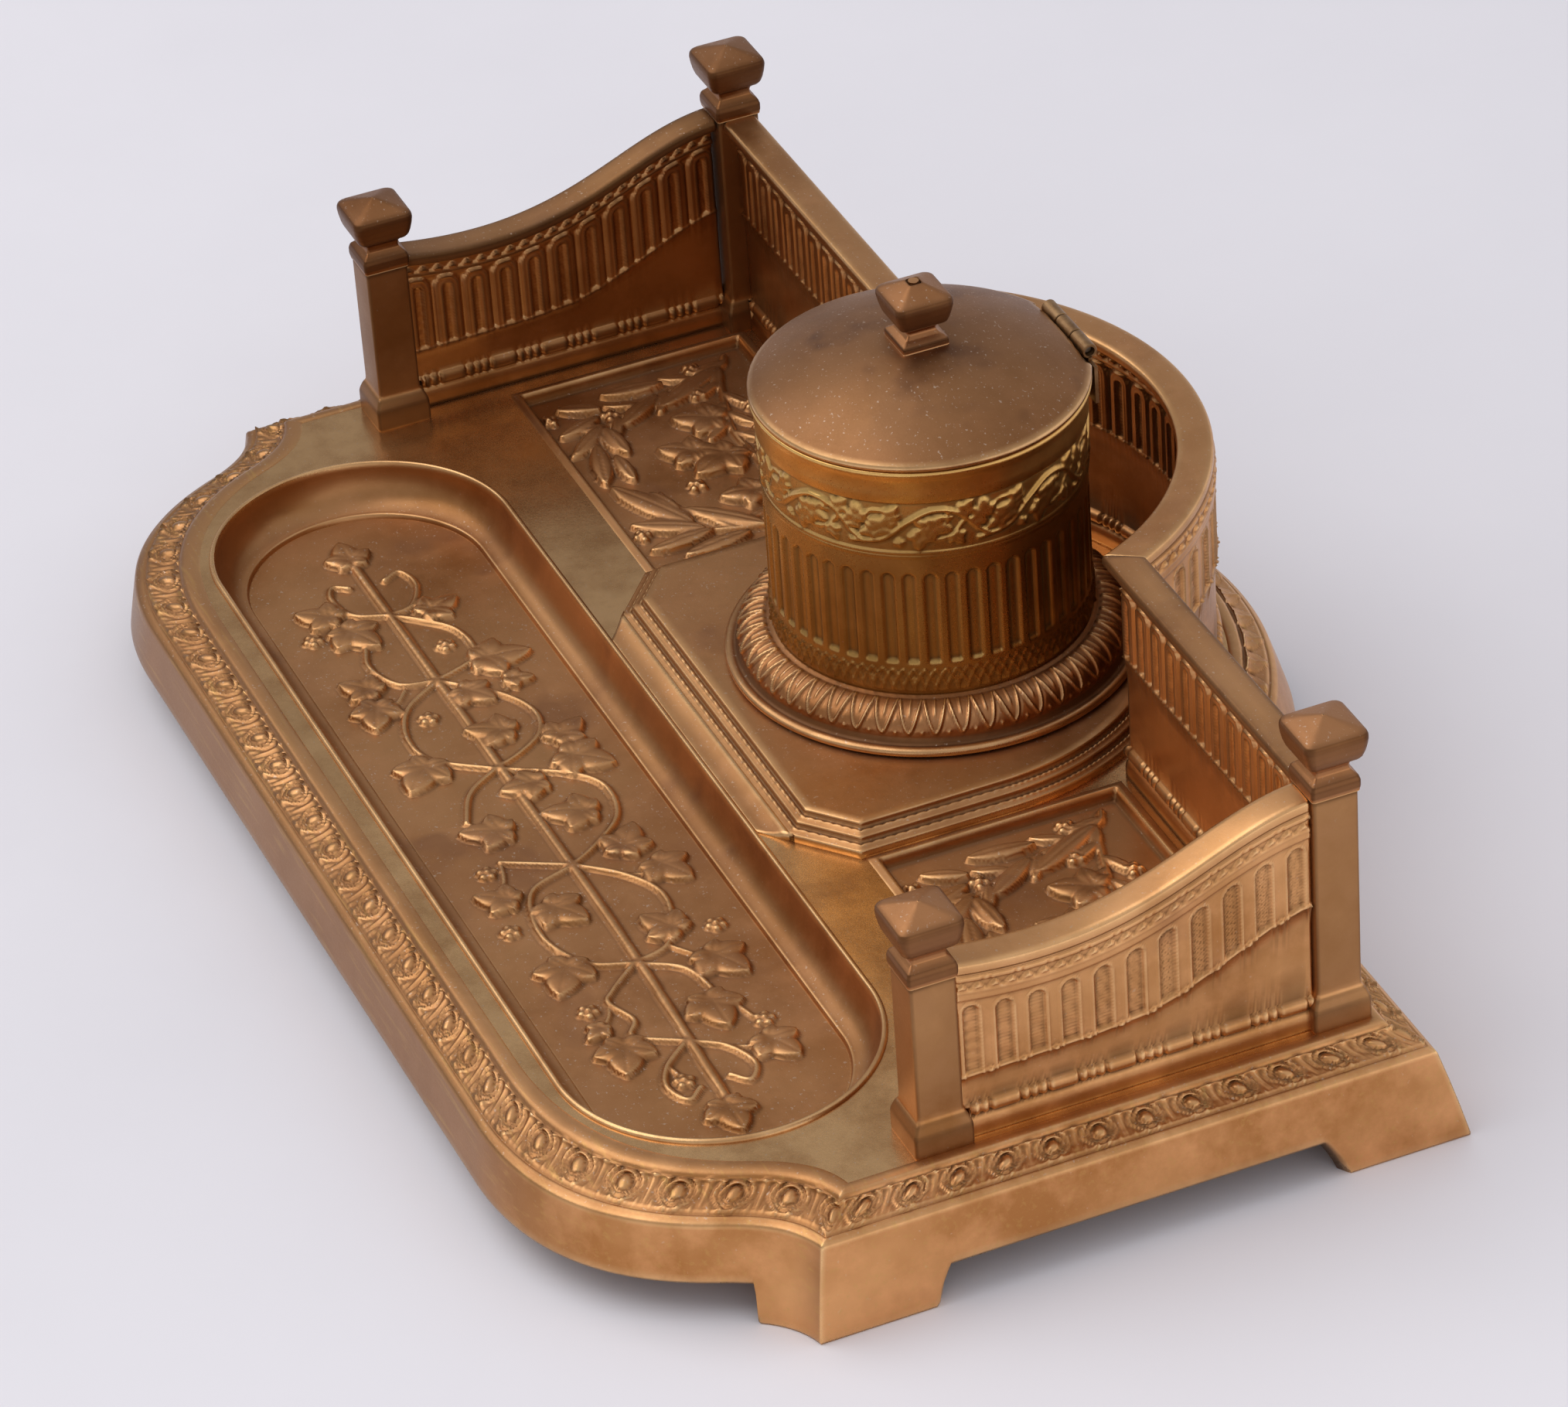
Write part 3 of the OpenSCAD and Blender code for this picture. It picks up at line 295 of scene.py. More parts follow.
def painted_end_and_rim_light(n, colour, at, end_light, rim):
    """Painted light: the right end painted brighter and the left end darker, and at the rim, if
    any, a painted highlight over painted shade below it.
    """
    # painted light on the right end, painted shade on the left end
    end = n.span(at[0], -0.13, 0.13, 0.67 - 0.67 * end_light, 0.67 + 0.33 * end_light)
    colour = n.blend(1.0, colour, n.blend(end, SHADED_END, LIT_END), "MULTIPLY")
    # painted highlight on the rim band over painted shade below it
    if rim:
        colour = n.blend(1.0, colour, n.blend(n.span(at[2], *rim), SHADED_BELOW_RIM, LIT_AT_RIM), "MULTIPLY")
    return colour


def brass_material(name, base=BRASS, worn=WORN, rough=0.33, stain=0.4, brushed=0.0, wear=1.0,
                   deep=0.8, dusty=0.4, front_shade=0.0, end_light=1.0, grain=0.4, rim=None):
    """Satin gilt brass: mottled, dark in the hollows with grime and painted shade, and rubbed
    bright on the edges.
    """
    material = bpy.data.materials.new(name)
    n = Nodes(material)
    coord = n.add("ShaderNodeTexCoord").outputs
    where = coord["Object"]
    facing, at = n.parts(coord["Normal"]), n.parts(where)
    broad, cloud = n.noise(where, 22, 5), n.noise(where, 95, 6, 0.62)
    speck, fine = n.noise(where, 900, 3, 0.6), n.noise(where, 2600, 2, 0.5)
    rubbed, grime_and_shade, dust = wear_shares(n, where, facing[2], cloud, wear, deep, dusty)

    colour = gilding(n, where, base, stain, (broad, cloud, speck))
    # rubbed edges, grime with painted shade in the hollows, and dust
    for share, over in ((rubbed, worn), (grime_and_shade, GRIME_AND_SHADE), (dust, DUST)):
        colour = n.blend(share, colour, tone(over))
    # painted light at the right end and the rim, painted shade at the left end
    colour = painted_end_and_rim_light(n, colour, at, end_light, rim)
    if front_shade:  # painted shade on faces turned to the front
        front = n.times(n.span(facing[0], -0.2, 0.6, front_shade, 0), n.span(facing[1], 0.2, -0.5))
        colour = n.blend(front, colour, tone(base, (0.7, 0.68, 0.68)))
    grains = n.times(n.span(n.noise(where, 1500, 2, 0.5), 0.66, 0.72, 0, 0.45),
                     n.span(facing[2], 0.5, 0.9))
    colour = n.blend(grains, colour, tone(GRAIN))

    roughness = n.plus(n.span(broad, 0.3, 0.7, rough - 0.03, rough + 0.05),
                       n.span(fine, 0.3, 0.7, -0.03, 0.04))
    roughness = n.less(n.plus(roughness, n.times(grime_and_shade, 0.15)), n.times(rubbed, 0.08))
    roughness = n.plus(roughness, n.times(dust, 0.3))
    bumps = n.plus(n.plus(n.times(cloud, 0.4), n.times(fine, 0.14)), n.times(speck, 0.12))
    if brushed:
        way = {"Vector": where, "Rotation": (0.35, 0.2, 0.5), "Scale": (60, 900, 900)}
        lines = n.noise(n.add("ShaderNodeMapping", way).outputs[0], 1.0, 3, 0.6)
        bumps = n.plus(bumps, n.times(lines, brushed * 0.3))
        colour = n.blend(n.span(lines, 0.55, 0.75, 0, brushed), colour, tone(STREAK))
    metal = n.less(n.less(1.0, n.times(grime_and_shade, 0.3)), n.times(dust, 0.6))
    n.surface(bumps, grain, 0.0002, {"Base Color": colour, "Metallic": metal,
                                     "Roughness": roughness, "Specular IOR Level": 0.15})
    return material


def plain_metal(name, base, rough):
    """Turned or drawn metal with faint clouds and tarnish."""
    material = bpy.data.materials.new(name)
    n = Nodes(material)
    where = n.place()
    cloud, fine = n.noise(where, 180, 5, 0.6), n.noise(where, 2200, 2, 0.5)
    colour = n.blend(n.span(cloud, 0.35, 0.7), tone(base), tone(base, (0.72, 0.66, 0.6)))
    n.surface(n.plus(cloud, fine), 0.3, 0.0001, {
        "Base Color": colour, "Metallic": 1.0,
        "Roughness": n.span(fine, 0.3, 0.7, rough - 0.06, rough + 0.1)})
    return material


def glass_material():
    """Pressed glass, faintly green, with a trace of dried ink."""
    material = bpy.data.materials.new("liner_glass")
    n = Nodes(material)
    where = n.place()
    cloud = n.noise(where, 60, 4, 0.6)
    colour = n.blend(n.span(cloud, 0.4, 0.7), (0.80, 0.88, 0.85, 1), (0.68, 0.78, 0.76, 1))
    n.surface(n.noise(where, 300, 3), 0.2, 0.0002, {
        "Base Color": colour, "Roughness": n.span(cloud, 0.3, 0.7, 0.06, 0.2), "IOR": 1.5,
        "Transmission Weight": 0.85})
    return material


def paper_material():
    """Pale lavender-grey paper with soft creases, and a painted pool of light that makes it paler
    at the stand's right.
    """
    material = bpy.data.materials.new("paper")
    n = Nodes(material)
    where = n.place()
    crease = n.noise(where, 7, 5, 0.6)
    colour = n.blend(n.span(crease, 0.35, 0.7), (0.80, 0.785, 0.83, 1), (0.77, 0.755, 0.80, 1))
    # painted light: the paper is paler toward the stand's right
    colour = n.blend(n.span(n.parts(where)[0], 0.0, 0.35), colour, (0.92, 0.90, 0.94, 1))
    n.surface(crease, 0.25, 0.003, {"Base Color": colour, "Roughness": 0.85,
                                    "Specular IOR Level": 0.1})
    return material


PAPER_RINGS = (0.3, 0.8, 1.6, 3.0)  # radii of the sheet's rings, in metres


def make_stage():
    """A large sheet of paper, flat under the stand."""
    turn = np.linspace(0, 2 * math.pi, 72, endpoint=False)
    points = [(r * math.cos(a), r * math.sin(a), 0) for r in PAPER_RINGS for a in turn]
    faces = grid_faces(len(PAPER_RINGS), len(turn), close_columns=True)
    mesh = bpy.data.meshes.new("paper_sheet")
    mesh.from_pydata(points, [], [list(range(len(turn)))] + faces)
    mesh.materials.append(paper_material())
    add_object("paper_sheet", mesh)


def make_world():
    """A pale room: brighter behind and to the right, with a plain tone for the camera."""
    world = bpy.data.worlds.new("studio")
    bpy.context.scene.world = world
    n = Nodes(world)
    x, y, z = n.parts(n.add("ShaderNodeTexCoord").outputs["Generated"])
    band = n.times(n.span(z, 0.1, 0.6, 0.92, 0.4), n.span(y, -0.8, 0.8, 0.72, 1.15))
    band = n.times(band, n.span(x, -0.8, 0.8, 0.72, 1.35))
    level = n.plus(band, n.span(z, 0.5, 0.9, 0.0, 0.3))
    room = n.add("ShaderNodeBackground", {"Color": (0.96, 0.96, 1.0, 1), "Strength": level})
    seen = n.add("ShaderNodeBackground", {"Color": (0.78, 0.75, 0.80, 1), "Strength": 1.0})
    camera = n.add("ShaderNodeLightPath").outputs["Is Camera Ray"]
    both = n.add("ShaderNodeMixShader", {0: camera, 1: room.outputs[0], 2: seen.outputs[0]})
    n.add("ShaderNodeOutputWorld", {"Surface": both.outputs[0]})


# ---- meshes --------------------------------------------------------------------

def rows_of(items, key, width=3, kind=float):
    """A mesh's vertices, normals or edges as rows of numbers."""
    values = np.empty(len(items) * width, kind)
    items.foreach_get(key, values)
    return values.reshape(-1, width)


def mark_curvature(mesh):
    """Writes how hollow and how edge-like each vertex is, for the finish to use."""
    at, normal = rows_of(mesh.vertices, "co"), rows_of(mesh.vertex_normals, "vector")
    a, b = rows_of(mesh.edges, "vertices", 2, np.int64).T
    way = at[b] - at[a]
    way /= np.maximum(np.linalg.norm(way, axis=1), 1e-9)[:, None]
    rise_a = np.einsum("ij,ij->i", normal[a], way)
    rise_b = -np.einsum("ij,ij->i", normal[b], way)
    count = len(at)
    degree = np.bincount(a, minlength=count) + np.bincount(b, minlength=count)
    bend = (np.bincount(a, rise_a, count) + np.bincount(b, rise_b, count)) / np.maximum(degree, 1)
    means = [bend]  # over wider and wider neighbourhoods
    for _ in range(5):
        v = means[-1]
        total = np.bincount(a, v[b], count) + np.bincount(b, v[a], count)
        means.append((v + total) / (degree + 1.0))
    close, wide = means[1], means[5]
    for name, values in (("hollow", close * 1.6 + wide * 4.0), ("edge", -close * 2.4 - wide * 1.2)):
        layer = mesh.attributes.new(name, "FLOAT", "POINT")
        layer.data.foreach_set("value", np.clip(values, 0, 1).astype(np.float32))


def add_mesh(name, points, faces, material, body, slot="gilt_brass", node=None, smooth=True):
    """One piece from points in metres and faces, dressed, riding and named."""
    mesh = bpy.data.meshes.new(name)
    mesh.from_pydata([tuple(p) for p in points], [], faces)
    mesh.validate()
    mesh.update()
    mesh.polygons.foreach_set("use_smooth", np.full(len(mesh.polygons), smooth))
    mark_curvature(mesh)
    mesh.materials.append(material)
    piece = add_object(name, mesh)
    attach(piece, body)
    if node:
        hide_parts(node)


def taken(mesh):
    """Points and faces of a scratch mesh, which goes away."""
    points = rows_of(mesh.vertices, "co")
    faces = [list(face.vertices) for face in mesh.polygons]
    bpy.data.meshes.remove(mesh)
    return points, faces


def grid_faces(rows, columns, close_rows=False, close_columns=False):
    """Quads over a grid of points numbered row by row."""
    r = np.arange(rows if close_rows else rows - 1)
    c = np.arange(columns if close_columns else columns - 1)
    r, c = np.meshgrid(r, c, indexing="ij")
    r2, c2 = (r + 1) % rows, (c + 1) % columns
    quads = np.stack([r * columns + c, r2 * columns + c, r2 * columns + c2, r * columns + c2], -1)
    return quads.reshape(-1, 4).tolist()


def add_loops(name, loops, material, body, closed=False, **more):
    """A solid through closed section loops (loops, points, 3), capped unless closed."""
    loops = np.asarray(loops, float)
    rows, columns = loops.shape[:2]
    faces = grid_faces(rows, columns, close_rows=closed, close_columns=True)
    if not closed:
        faces.append(list(range(columns)))
        faces.append([(rows - 1) * columns + i for i in range(columns - 1, -1, -1)])
    add_mesh(name, place(loops.reshape(-1, 3)), faces, material, body, **more)


def eased(points, radius, steps=3):
    """A line of points with its corners rounded."""
    points = [np.asarray(p, float) for p in points]
    out = [points[0]]
    for a, b, c in zip(points, points[1:], points[2:]):
        before, after = np.linalg.norm(a - b), np.linalg.norm(c - b)
        r = min(radius, before * 0.48, after * 0.48)
        start, end = b + (a - b) / before * r, b + (c - b) / after * r
        for t in np.linspace(0, 1, steps + 1):
            out.append((1 - t) ** 2 * start + 2 * t * (1 - t) * b + t * t * end)
    out.append(points[-1])
    return np.array(out)


def filled(line, pitch):
    """The same line with points added so that none are further apart than pitch."""
    out = []
    for a, b in zip(line, line[1:]):
        n = max(1, int(math.ceil(np.linalg.norm(b - a) / pitch)))
        out += [a + (b - a) * k / n for k in range(n)]
    out.append(line[-1])
    return np.array(out)


def surface_normals(p):
    """Unit normals of a grid of points that closes on itself both ways."""
    normal = np.cross(np.roll(p, -1, 0) - np.roll(p, 1, 0), np.roll(p, -1, 1) - np.roll(p, 1, 1))
    return normal / np.maximum(np.linalg.norm(normal, axis=2, keepdims=True), 1e-9)


def bell(x, width):
    """A smooth bump of height 1 and the given half width."""
    return np.where(np.abs(x) < width, 0.5 + 0.5 * np.cos(np.pi * x / width), 0.0)


def round_top(x, width):
    """A half-round bump of height 1 and the given half width."""
    return np.sqrt(np.clip(1 - (x / width) ** 2, 0, 1))


def step(x, a, b):
    """0 below a, 1 above b, smooth between."""
    t = np.clip((x - a) / (b - a), 0, 1)
    return t * t * (3 - 2 * t)


# ---- relief --------------------------------------------------------------------

# Lobes of a leaf, from its foot: bearing from the tip, length and width in tips
LOBES = ((0, 1.55, 1.25), (66, 1.15, 1.05), (-66, 1.15, 1.05), (125, 0.8, 0.8), (-125, 0.8, 0.8))


class Relief:
    """Heights over a flat patch, raised by stamps of leaves, stems and berries."""

    def __init__(self, x0, x1, y0, y1, pitch):
        self.x = np.linspace(x0, x1, int(round((x1 - x0) / pitch)) + 1)
        self.y = np.linspace(y0, y1, int(round((y1 - y0) / pitch)) + 1)
        self.h = np.zeros((len(self.x), len(self.y)))

    def grid(self):
        return np.meshgrid(self.x, self.y, indexing="ij")

    def near(self, x, y, reach):
        """The part of the patch within reach of a point, and its offsets from it."""
        i = slice(*np.searchsorted(self.x, (x - reach, x + reach)))
        j = slice(*np.searchsorted(self.y, (y - reach, y + reach)))
        dx, dy = np.meshgrid(self.x[i] - x, self.y[j] - y, indexing="ij")
        return (i, j), dx, dy

    def raise_to(self, at, heights):
        self.h[at] = np.maximum(self.h[at], heights)

    def berry(self, x, y, radius, top):
        at, dx, dy = self.near(x, y, radius)
        self.raise_to(at, top * round_top(np.hypot(dx, dy), radius))

    def berries(self, x, y, radius, top, count=5):
        """A ring of berries round a higher one."""
        for k in range(count):
            a = 2 * math.pi * k / count + x
            self.berry(x + 1.3 * radius * math.cos(a), y + 1.3 * radius * math.sin(a), radius, top)
        self.berry(x, y, radius, top * 1.25)

    def stem(self, points, radius, top, thin=1.0):
        """A round stem along a smooth line, thinning to its end."""
        line = smooth_line(points, radius * 0.4)
        for k, (x, y) in enumerate(line):
            share = 1 - (1 - thin) * k / len(line)
            at, dx, dy = self.near(x, y, radius * share)
            self.raise_to(at, top * share * round_top(np.hypot(dx, dy), radius * share))

    def blade(self, x, y, angle, length, width, top):
        """A pointed leaf from its foot, with a midrib."""
        at, dx, dy = self.near(x, y, length)
        along = (dx * math.cos(angle) + dy * math.sin(angle)) / length
        across = -dx * math.sin(angle) + dy * math.cos(angle)
        t = np.clip(along, 0, 1)
        half = width / 2 * 2.2 * t ** 0.6 * (1 - t) ** 0.62 + 1e-6
        inside = (along > 0) & (along < 1) & (np.abs(across) < half)
        share = np.clip(np.abs(across) / half, 0, 1)
        body = 0.3 + 0.7 * np.sqrt(1 - share ** 3) * (0.7 + 0.3 * bell(t - 0.4, 0.7))
        self.raise_to(at, np.where(inside, top * (body - 0.1 * bell(across, 0.3)), 0))

    def ivy(self, x, y, degrees, tip, top, flat=4):
        """A broad lobed leaf about its middle, its tip that far off at that bearing."""
        angle = math.radians(degrees)
        foot_x, foot_y = x - 0.62 * tip * math.cos(angle), y - 0.62 * tip * math.sin(angle)
        at, dx, dy = self.near(foot_x, foot_y, 1.7 * tip)
        height = np.zeros_like(dx)
        for turn, length, width in LOBES:
            way = angle + math.radians(turn)
            along = (dx * math.cos(way) + dy * math.sin(way)) / (length * tip)
            across = np.abs(dx * math.sin(way) - dy * math.cos(way))
            t = np.clip(along, 0, 1)
            half = width / 2 * tip * 2.32 * t ** 0.5 * (1 - t) ** 0.75 + 1e-6
            share = np.clip(across / half, 0, 1)
            lobe = np.sqrt(1 - share ** flat) * (0.8 + 0.2 * bell(t - 0.5, 0.55))
            lobe = np.where((along > 0) & (along < 1), lobe - 0.07 * bell(across, 0.3), 0)
            height = np.maximum(height, lobe * (share < 1))
        self.raise_to(at, top * height)
        self.berry(foot_x, foot_y, 0.34 * tip, top * 0.8)


def smooth_line(points, pitch):
    """A Catmull-Rom line through the points, as points about a pitch apart."""
    p = [np.asarray(v, float) for v in points]
    p = [2 * p[0] - p[1]] + p + [2 * p[-1] - p[-2]]
    out = []
    for a, b, c, d in zip(p, p[1:], p[2:], p[3:]):
        n = max(2, int(np.linalg.norm(c - b) / pitch))
        for t in np.arange(n) / n:
            out.append(0.5 * (2 * b + (c - a) * t + (2 * a - 5 * b + 4 * c - d) * t * t
                              + (3 * b - a - 3 * c + d) * t ** 3))
    out.append(p[-2])
    return out


def add_relief(name, relief, z, keep, material, bottom=1.0, **more):
    """A relief lying flat at a height, as a thin solid where keep is true."""
    i, j = np.nonzero(keep[:-1, :-1] & keep[1:, :-1] & keep[:-1, 1:] & keep[1:, 1:])
    corners = [(i, j), (i + 1, j), (i + 1, j + 1), (i, j + 1)]
    used = np.zeros(keep.shape, bool)
    for corner in corners:
        used[corner] = True
    number = np.full(keep.shape, -1)
    number[used] = np.arange(used.sum())
    top = place(np.stack([*relief.grid(), z + relief.h], -1)[used])
    faces = np.stack([number[corner] for corner in corners], -1)
    mesh = bpy.data.meshes.new(name)
    mesh.from_pydata(top.tolist(), [], faces.tolist())
    bm = bmesh.new()
    bm.from_mesh(mesh)
    rim = [edge for edge in bm.edges if edge.is_boundary]
    made = bmesh.ops.extrude_edge_only(bm, edges=rim)["geom"]
    for item in made:
        if isinstance(item, bmesh.types.BMVert):
            item.co.z = (z - bottom) / MM
    floor = [item for item in made if isinstance(item, bmesh.types.BMEdge) and item.is_boundary]
    bmesh.ops.contextual_create(bm, geom=floor)
    bmesh.ops.recalc_face_normals(bm, faces=bm.faces)
    bm.to_mesh(mesh)
    bm.free()
    add_mesh(name, *taken(mesh), material, "stand", **more)


# ---- base ----------------------------------------------------------------------

EGG = 9.7  # pitch of the eggs
SIDE_EGG, BULGE_LEAF = 12.2, 9.0  # eggs along a side, leaves on the bulge
FRONT, CORNER, EAR, SIDE, BACK, BULGE = range(6)  # parts of half the base's outline


def bezier(p, t):
    """Points at shares t along a curve with four control points."""
    p = [np.asarray(v, float) for v in p]
    t = t[:, None]
    return ((1 - t) ** 3 * p[0] + 3 * (1 - t) ** 2 * t * p[1] + 3 * (1 - t) * t * t * p[2]
            + t ** 3 * p[3])


def straight(a, b, t):
    """Points at shares t from a to b."""
    return np.asarray(a, float) + np.outer(t, np.subtract(b, a))


def outline_part(line, part, t):
    """Points at shares t along one part of half the base's outline."""
    end, front, corner, back, bulge = line
    bend = (end - 13.2, corner - 12.2)  # where the round corner meets the ear
    turn = math.acos((back + BAY_FWD) / bulge)  # from the bulge's middle to its end
    if part == FRONT:
        return straight((0, front), (end - 60, front), t)
    if part == CORNER:
        points = [(end - 60, front), (end - 30.5, front), (end - 19, corner - 24.5), bend]
        return bezier(points, t)
    if part == EAR:
        points = [bend, (end - 10, corner - 6), (end - 6.3, corner - 1.5), (end, corner)]
        return bezier(points, t)
    if part == SIDE:
        return straight((end, corner), (end, back), t)
    if part == BACK:
        return straight((end, back), (bulge * math.sin(turn), back), t)
    a = turn * (1 - t)
    return np.stack([bulge * np.sin(a), bulge * np.cos(a) - BAY_FWD], -1)


def run_table(part):
    """Shares along one outline part, and how far along the deck's edge each lies."""
    t = np.linspace(0, 1, 400)
    gaps = np.diff(outline_part(DECK_LINE, part, t), axis=0)
    return t, np.concatenate([[0], np.cumsum(np.linalg.norm(gaps, axis=1))])


def even_shares(part, pitch):
    """Shares of one outline part, evenly spaced along the deck's edge."""
    t, run = run_table(part)
    n = max(2, int(math.ceil(run[-1] / pitch)))
    return np.interp(np.linspace(0, run[-1], n + 1), run, t)


def skirt_profile():
    """Share of the way from skirt to deck, and height, up the moulding and over its edge."""
    line = [(0.0, SKIRT_TOP), (0.045, 19.75), (0.12, 20.0), (0.17, 20.35), (0.2, 20.25),
            (0.235, 20.3), (0.27, 20.85)]
    line += [(0.27 + 0.63 * math.sin(a), 20.85 + 2.3 * (1 - math.cos(a)) ** 0.8)
             for a in np.linspace(0.1, math.pi / 2, 24)]
    line += [(0.92, 23.1), (0.935, 23.4), (0.97, 23.75), (1.0, 24.0), (1.06, 24.2),
             (1.2, 24.28), (1.31, 24.2), (1.36, 23.98), (1.4, 23.7)]
    return np.array(line)


def egg_height(a, v):
    """Egg and dart: a is the offset from an egg's middle in pitches, v runs up the band."""
    x, y = a * EGG, (v - 0.6) * 6.6
    egg = np.sqrt(np.clip(1 - (x / 1.45) ** 2 - (y / 1.85) ** 2, 0, 1))
    low = np.clip(-y / 3.4, 0, 1)  # the collars draw to a point below
    out = np.hypot(x / (1 - 0.45 * low), y * (1 - 0.12 * low))
    inner = bell(out - 2.3, 0.42) * (v < 0.97)
    outer = bell(out - 3.35, 0.5) * (v < 0.97) * step(out, 2.5, 3.0)
    valley = bell(out - 1.85, 0.4) + bell(out - 2.85, 0.4)
    side = EGG / 2 - np.abs(x)
    dart = bell(side, 0.3 + 0.7 * np.clip(v, 0, 1)) * step(v, 0.06, 0.3)
    sprig = bell(side - 0.9 - 1.3 * np.clip(0.55 - v, 0, 1), 0.4) * bell(v - 0.22, 0.3)
    foot = bell(side - 3.4, 1.5) * bell(v - 0.06, 0.1)
    raised = np.maximum.reduce([1.35 * egg, 0.75 * inner, 0.85 * outer, 0.55 * dart,
                                0.5 * sprig, 0.5 * foot])
    return raised - 0.25 * valley * (raised < 0.3)


def leaf_band_height(a, v):
    """Broad lapped leaves with ribs, for the moulding round the bulge."""
    x = np.mod(a, 1.0) - 0.5
    edge_at = 0.48 * (1 - v ** 2.4)
    leaf = step(edge_at - np.abs(x), -0.01, 0.05) * (0.55 + 0.3 * np.cos(x * math.pi))
    rib = 0.35 * bell(x, 0.07) * (v < 0.95)
    veins = 0.12 * (0.5 + 0.5 * np.cos((np.abs(x) * 2.2 + v * 1.2) * 14))
    behind = 0.35 * step(v, 0.25, 0.45) * (1 - step(v, 0.92, 1.0))
    return np.maximum(leaf * (1 + rib + veins), behind)


def arch_line(part, p):
    """Height of the skirt's lower edge at points of one outline part."""
    x, y = p.T
    if part in (FRONT, CORNER, EAR):
        return ARCH * (1 - step(y, FOOT[2] - 8.0, FOOT[2] - 7.3))
    if part == BULGE:
        return np.full(len(y), ARCH)
    run = END - REAR_FOOT - x
    if part == SIDE:
        run = np.minimum(y - ARCH_ENDS[0], ARCH_ENDS[3] - y)
    return ARCH * np.clip(run / ARCH_RUN, 0, 1) ** 0.6


def skirt_stations(pitch=0.44):
    """For each part: points at foot, skirt and deck, and their places in whole patterns."""
    skirt_line = FOOT + (DECK_LINE - FOOT) * LEAN
    lengths = [run_table(part)[1][-1] for part in range(6)]
    front = sum(lengths[:SIDE])
    units = [front / round(front / EGG)] * 3
    units += [lengths[SIDE] / SIDE_EGG, lengths[BACK] / round(lengths[BACK] / EGG),
              lengths[BULGE] / BULGE_LEAF]
    run = 0.0
    for part, (length, unit) in enumerate(zip(lengths, units)):
        shares = even_shares(part, pitch)
        if part == SIDE:
            corner, back = DECK_LINE[2:4]
            arch = (ARCH_ENDS - corner) / (back - corner)
            shares = np.sort(np.concatenate([shares, arch]))
        if part >= SIDE:
            run = 0.0
        along = run + np.interp(shares, *run_table(part))
        lines = [outline_part(line, part, shares) for line in (FOOT, skirt_line, DECK_LINE)]
        yield part, *lines, along / unit, length / unit
        run += length


def skirt_section(foot, skirt, deck, z0, profile):
    """Closed section at one station: lower edge, bowed wall, moulding and the inside."""
    way = deck - skirt
    inward = way / max(np.linalg.norm(way), 1e-6)
    inset = np.array([3.2, 0.9, 0.25, 0, 0, 0, 0, 0, 3.2])
    z = np.array([z0, z0, z0, z0 + 0.7, *np.linspace(z0 + 2.0, SKIRT_TOP - 0.6, 4), z0 + 1.5])
    up = z / SKIRT_TOP
    bow = 0.21 * np.sin(np.pi * np.clip(up, 0, 1))
    wall = foot + np.outer(up, skirt - foot) + np.outer(inset - bow, inward)
    z[2] += 0.1  # the lower edge is rounded
    moulding = skirt + np.outer(profile[:, 0], way)
    points = np.vstack([wall[:8], moulding, deck + inward * 2.6, wall[8:]])
    return np.column_stack([points, np.concatenate([z[:8], profile[:, 1], [DECK - 3], z[8:]])])


def pattern_height(part, along, count, v):
    """Height of the moulding's pattern at one station, v running up its band."""
    if part == BULGE:
        return leaf_band_height(along, np.clip(1 - v, 0, 1))
    if part != SIDE:
        return egg_height(np.mod(along + 0.5, 1.0) - 0.5, v)
    h = egg_height(np.mod(along - 0.6 + 0.5, 1.0) - 0.5, v)
    return h * step(along, 0.02, 0.1) * (1 - step(along, count - 0.1, count - 0.02))


def skirt_rings():
    """Section loops round half the base, and how far the pattern raises each point."""
    profile = skirt_profile()
    v = (profile[:, 0] - 0.25) / 0.67
    band = (v > -0.02) & (v < 1.02)
    loops, heights = [], []
    for part, foot, skirt, deck, along, count in skirt_stations():
        lower = arch_line(part, foot)
        for k in range(0 if part == FRONT else 1, len(foot)):
            loops.append(skirt_section(foot[k], skirt[k], deck[k], lower[k], profile))
            h = np.where(band, 0.75 * pattern_height(part, along[k], count, v), 0)
            heights.append(np.concatenate([np.zeros(8), h, np.zeros(2)]))
    return np.array(loops), np.array(heights)


def make_skirt(material):
    loops, heights = skirt_rings()
    loops = np.concatenate([loops, loops[-2:0:-1] * [-1, 1, 1]])
    heights = np.concatenate([heights, heights[-2:0:-1]])
    loops += surface_normals(loops) * heights[..., None]
    add_loops("base_skirt", loops, material, "stand", closed=True, node="base_shell")


def flat_plate(name, outlines, z0, z1, material):
    """A flat plate with holes, from outlines in the plane, by a filled curve."""
    curve = bpy.data.curves.new(name, "CURVE")
    curve.dimensions = "2D"
    curve.fill_mode = "BOTH"
    curve.extrude = (z1 - z0) / 2 / MM
    for line in outlines:
        spline = curve.splines.new("POLY")
        spline.points.add(len(line) - 1)
        for point, (x, y) in zip(spline.points, line):
            point.co = (x / MM, (y + AXIS_Y) / MM, 0, 1)
        spline.use_cyclic_u = True
    holder = add_object(name + "_line", curve)
    mesh = bpy.data.meshes.new_from_object(holder)
    bpy.data.objects.remove(holder)
    bpy.data.curves.remove(curve)
    bm = bmesh.new()
    bm.from_mesh(mesh)
    bmesh.ops.remove_doubles(bm, verts=bm.verts, dist=1e-7)
    bm.to_mesh(mesh)
    bm.free()
    points, faces = taken(mesh)
    points[:, 2] += (z0 + z1) / 2 / MM
    add_mesh(name, points, faces, material, "stand", smooth=False)


